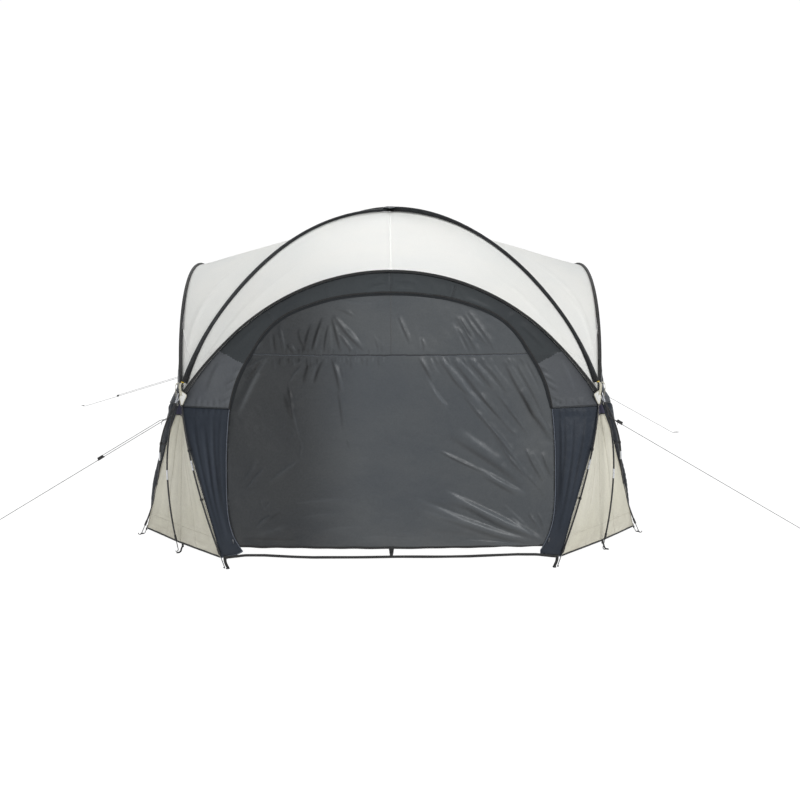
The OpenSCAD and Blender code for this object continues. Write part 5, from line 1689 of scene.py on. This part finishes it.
# loops at the crossings that the ropes are tied to
for i, gy in enumerate(GUYS):
    a0 = np.array(gy[0], float)
    vv_ = unit(np.array(gy[1], float) - a0)
    x = unit(np.cross(V(0, 0, 1), vv_))
    y = np.cross(vv_, x)
    bag = Bag()
    # a flat loop: out along one side, round the rope, back along the other
    ang = np.linspace(-math.pi / 2, math.pi / 2, 9)
    line = [(-30, -3.2), (-14, -3.0), (4, -3.0), (20, -3.4)] + [(24 + 4.2 * math.cos(q), 4.2 * math.sin(q)) for q in ang] + [(20, 3.4), (4, 3.0), (-14, 3.0), (-30, 3.2)]
    c = np.array([a0 + p_ * vv_ + q_ * y for p_, q_ in line])
    c = spline(c, 3)
    t = tangents(c)
    up = np.cross(t, x)
    v, f, fl = sweep(c, band(16, 2.0, 2), up)
    bag.add(v, f, 0, fl)
    v, f = box_mesh((-8.2, -3.9, -6), (8.2, 3.9, 7), 1.4)
    bag.add(place(v, a0, x, vv_), f, 0)
    o = bag.obj("guy_loop_" + CORNERS[i], [BLACK_WEB], sharp=50, slot="black_webbing")
    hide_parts("guy_tabs")

# ------------------------------------------------------------------ zip sliders
sl_n = V(0.234922, -0.940638, 0.244975)
sl_c = V(-726.489, -2176.55, 832.778)


def sl_pt(z):
    q = np.interp(z, door_tab[:, 0], door_tab[:, 1]) + 16
    return V(q, float(wall_y(V(q), V(z))[0]) - 8.5, z)


def slider():
    bag = Bag()
    # body with two cheeks, a bridge, and a pull with its hole
    v, f = box_mesh((-5.5, -2.4, 0), (5.5, 0.2, 14), 1.6)
    bag.add(v, f, 0)
    v, f = box_mesh((-4.2, -0.2, 1.0), (4.2, 1.9, 12.5), 1.0)
    bag.add(v, f, 0)
    br = spline([(0, -2.2, 2.2), (0, -4.6, 3.2), (0, -5.0, 7.0), (0, -4.4, 10.8), (0, -2.2, 11.8)], 1.2)
    v, f, fl = sweep(br, band(3.0, 1.3, 2), np.tile(V(0, -1, 0.01), (len(br), 1)))
    bag.add(v, f, 0)
    a = np.linspace(0, 2 * math.pi, 25)[:-1]
    pull = np.stack([3.0 * np.cos(a) * (1 + 0.12 * (np.sin(a) < 0)), -3.6 + 0 * a, -6.0 + 11.5 * np.sin(a)], 1)
    v, f, fl = sweep(pull, circle(1.05, 8), V(0, -1, 0.001), closed=True)
    bag.add(v, f, 0)
    v, f = box_mesh((-2.9, -4.2, -19.5), (2.9, -3.0, -8), 0.55)
    bag.add(v, f, 1)
    return bag


proto = slider()
pv = np.concatenate(proto.v)
for k, side in enumerate(SIDES):
    for s_, tag in ((-1, "a"), (1, "b")):
        p = sl_pt(176)
        zax = unit(np.cross(sl_n, p - sl_c))
        v = place(pv, p, np.cross(zax, sl_n), zax)
        ff = proto.f
        if s_ < 0:
            v = v * V(-1, 1, 1)
            ff = [q[::-1] for q in ff]
        b = Bag()
        b.add(rot(v, k), ff, 0)
        b.m = list(proto.m)
        o = b.obj("zip_pull_%s_%s" % (side, tag), [ZIPM, BLACKP], body="zip_slider_%s_%s" % (side, tag), sharp=50, slot="zip_metal")
        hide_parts("zip_slider_%s_%s" % (side, tag))

# ------------------------------------------------------------------ floor, light
fm = Nodes("studio_floor")
fm.p.inputs["Base Color"].default_value = (0.14, 0.14, 0.14, 1)
fm.p.inputs["Roughness"].default_value = 0.9
fm.p.inputs["Specular IOR Level"].default_value = 0.1
fm.p.inputs["Emission Color"].default_value = (1, 1, 1, 1)
fm.p.inputs["Emission Strength"].default_value = 0.97
me = bpy.data.meshes.new("floor")
S = 90.0
me.from_pydata([(-S, -S, 0), (S, -S, 0), (S, S, 0), (-S, S, 0)], [], [(0, 1, 2, 3)])
me.materials.append(fm.m)
floor = bpy.data.objects.new("floor", me)
scene.collection.objects.link(floor)
floor.location.z = -0.0006

world = bpy.data.worlds.new("studio")
scene.world = world
world.use_nodes = True
wt = world.node_tree
wt.nodes.clear()
wo = wt.nodes.new("ShaderNodeOutputWorld")
bg1, bg2 = wt.nodes.new("ShaderNodeBackground"), wt.nodes.new("ShaderNodeBackground")
bg1.inputs[0].default_value = (0.97, 0.98, 1.0, 1)
bg1.inputs[1].default_value = 0.40
bg2.inputs[0].default_value = (1, 1, 1, 1)
bg2.inputs[1].default_value = 1.02
lp, ms = wt.nodes.new("ShaderNodeLightPath"), wt.nodes.new("ShaderNodeMixShader")
wt.links.new(lp.outputs["Is Camera Ray"], ms.inputs[0])
wt.links.new(bg1.outputs[0], ms.inputs[1])
wt.links.new(bg2.outputs[0], ms.inputs[2])
wt.links.new(ms.outputs[0], wo.inputs[0])
scene.view_settings.view_transform = "Standard"


def area_light(name, loc, target, size, power, colour=(1, 1, 1)):
    l = bpy.data.lights.new(name, "AREA")
    l.shape = "RECTANGLE"
    l.size, l.size_y = size
    l.energy = power
    l.color = colour
    o = bpy.data.objects.new(name, l)
    scene.collection.objects.link(o)
    o.location = loc
    d = Vector(target) - Vector(loc)
    o.rotation_euler = d.to_track_quat("-Z", "Y").to_euler()
    return o


area_light("key", (4.8, -7.4, 7.2), (0, -1, 1.0), (2.6, 2.6), 440)
area_light("fill", (-3.6, -9.6, 3.8), (0, -1, 1.2), (4.0, 4.0), 70)
area_light("back", (0.5, 7.0, 7.5), (0, 0.5, 1.6), (6.0, 3.0), 200)
area_light("top", (-1.8, -0.5, 7.6), (0, 0, 2), (5.0, 5.0), 150)
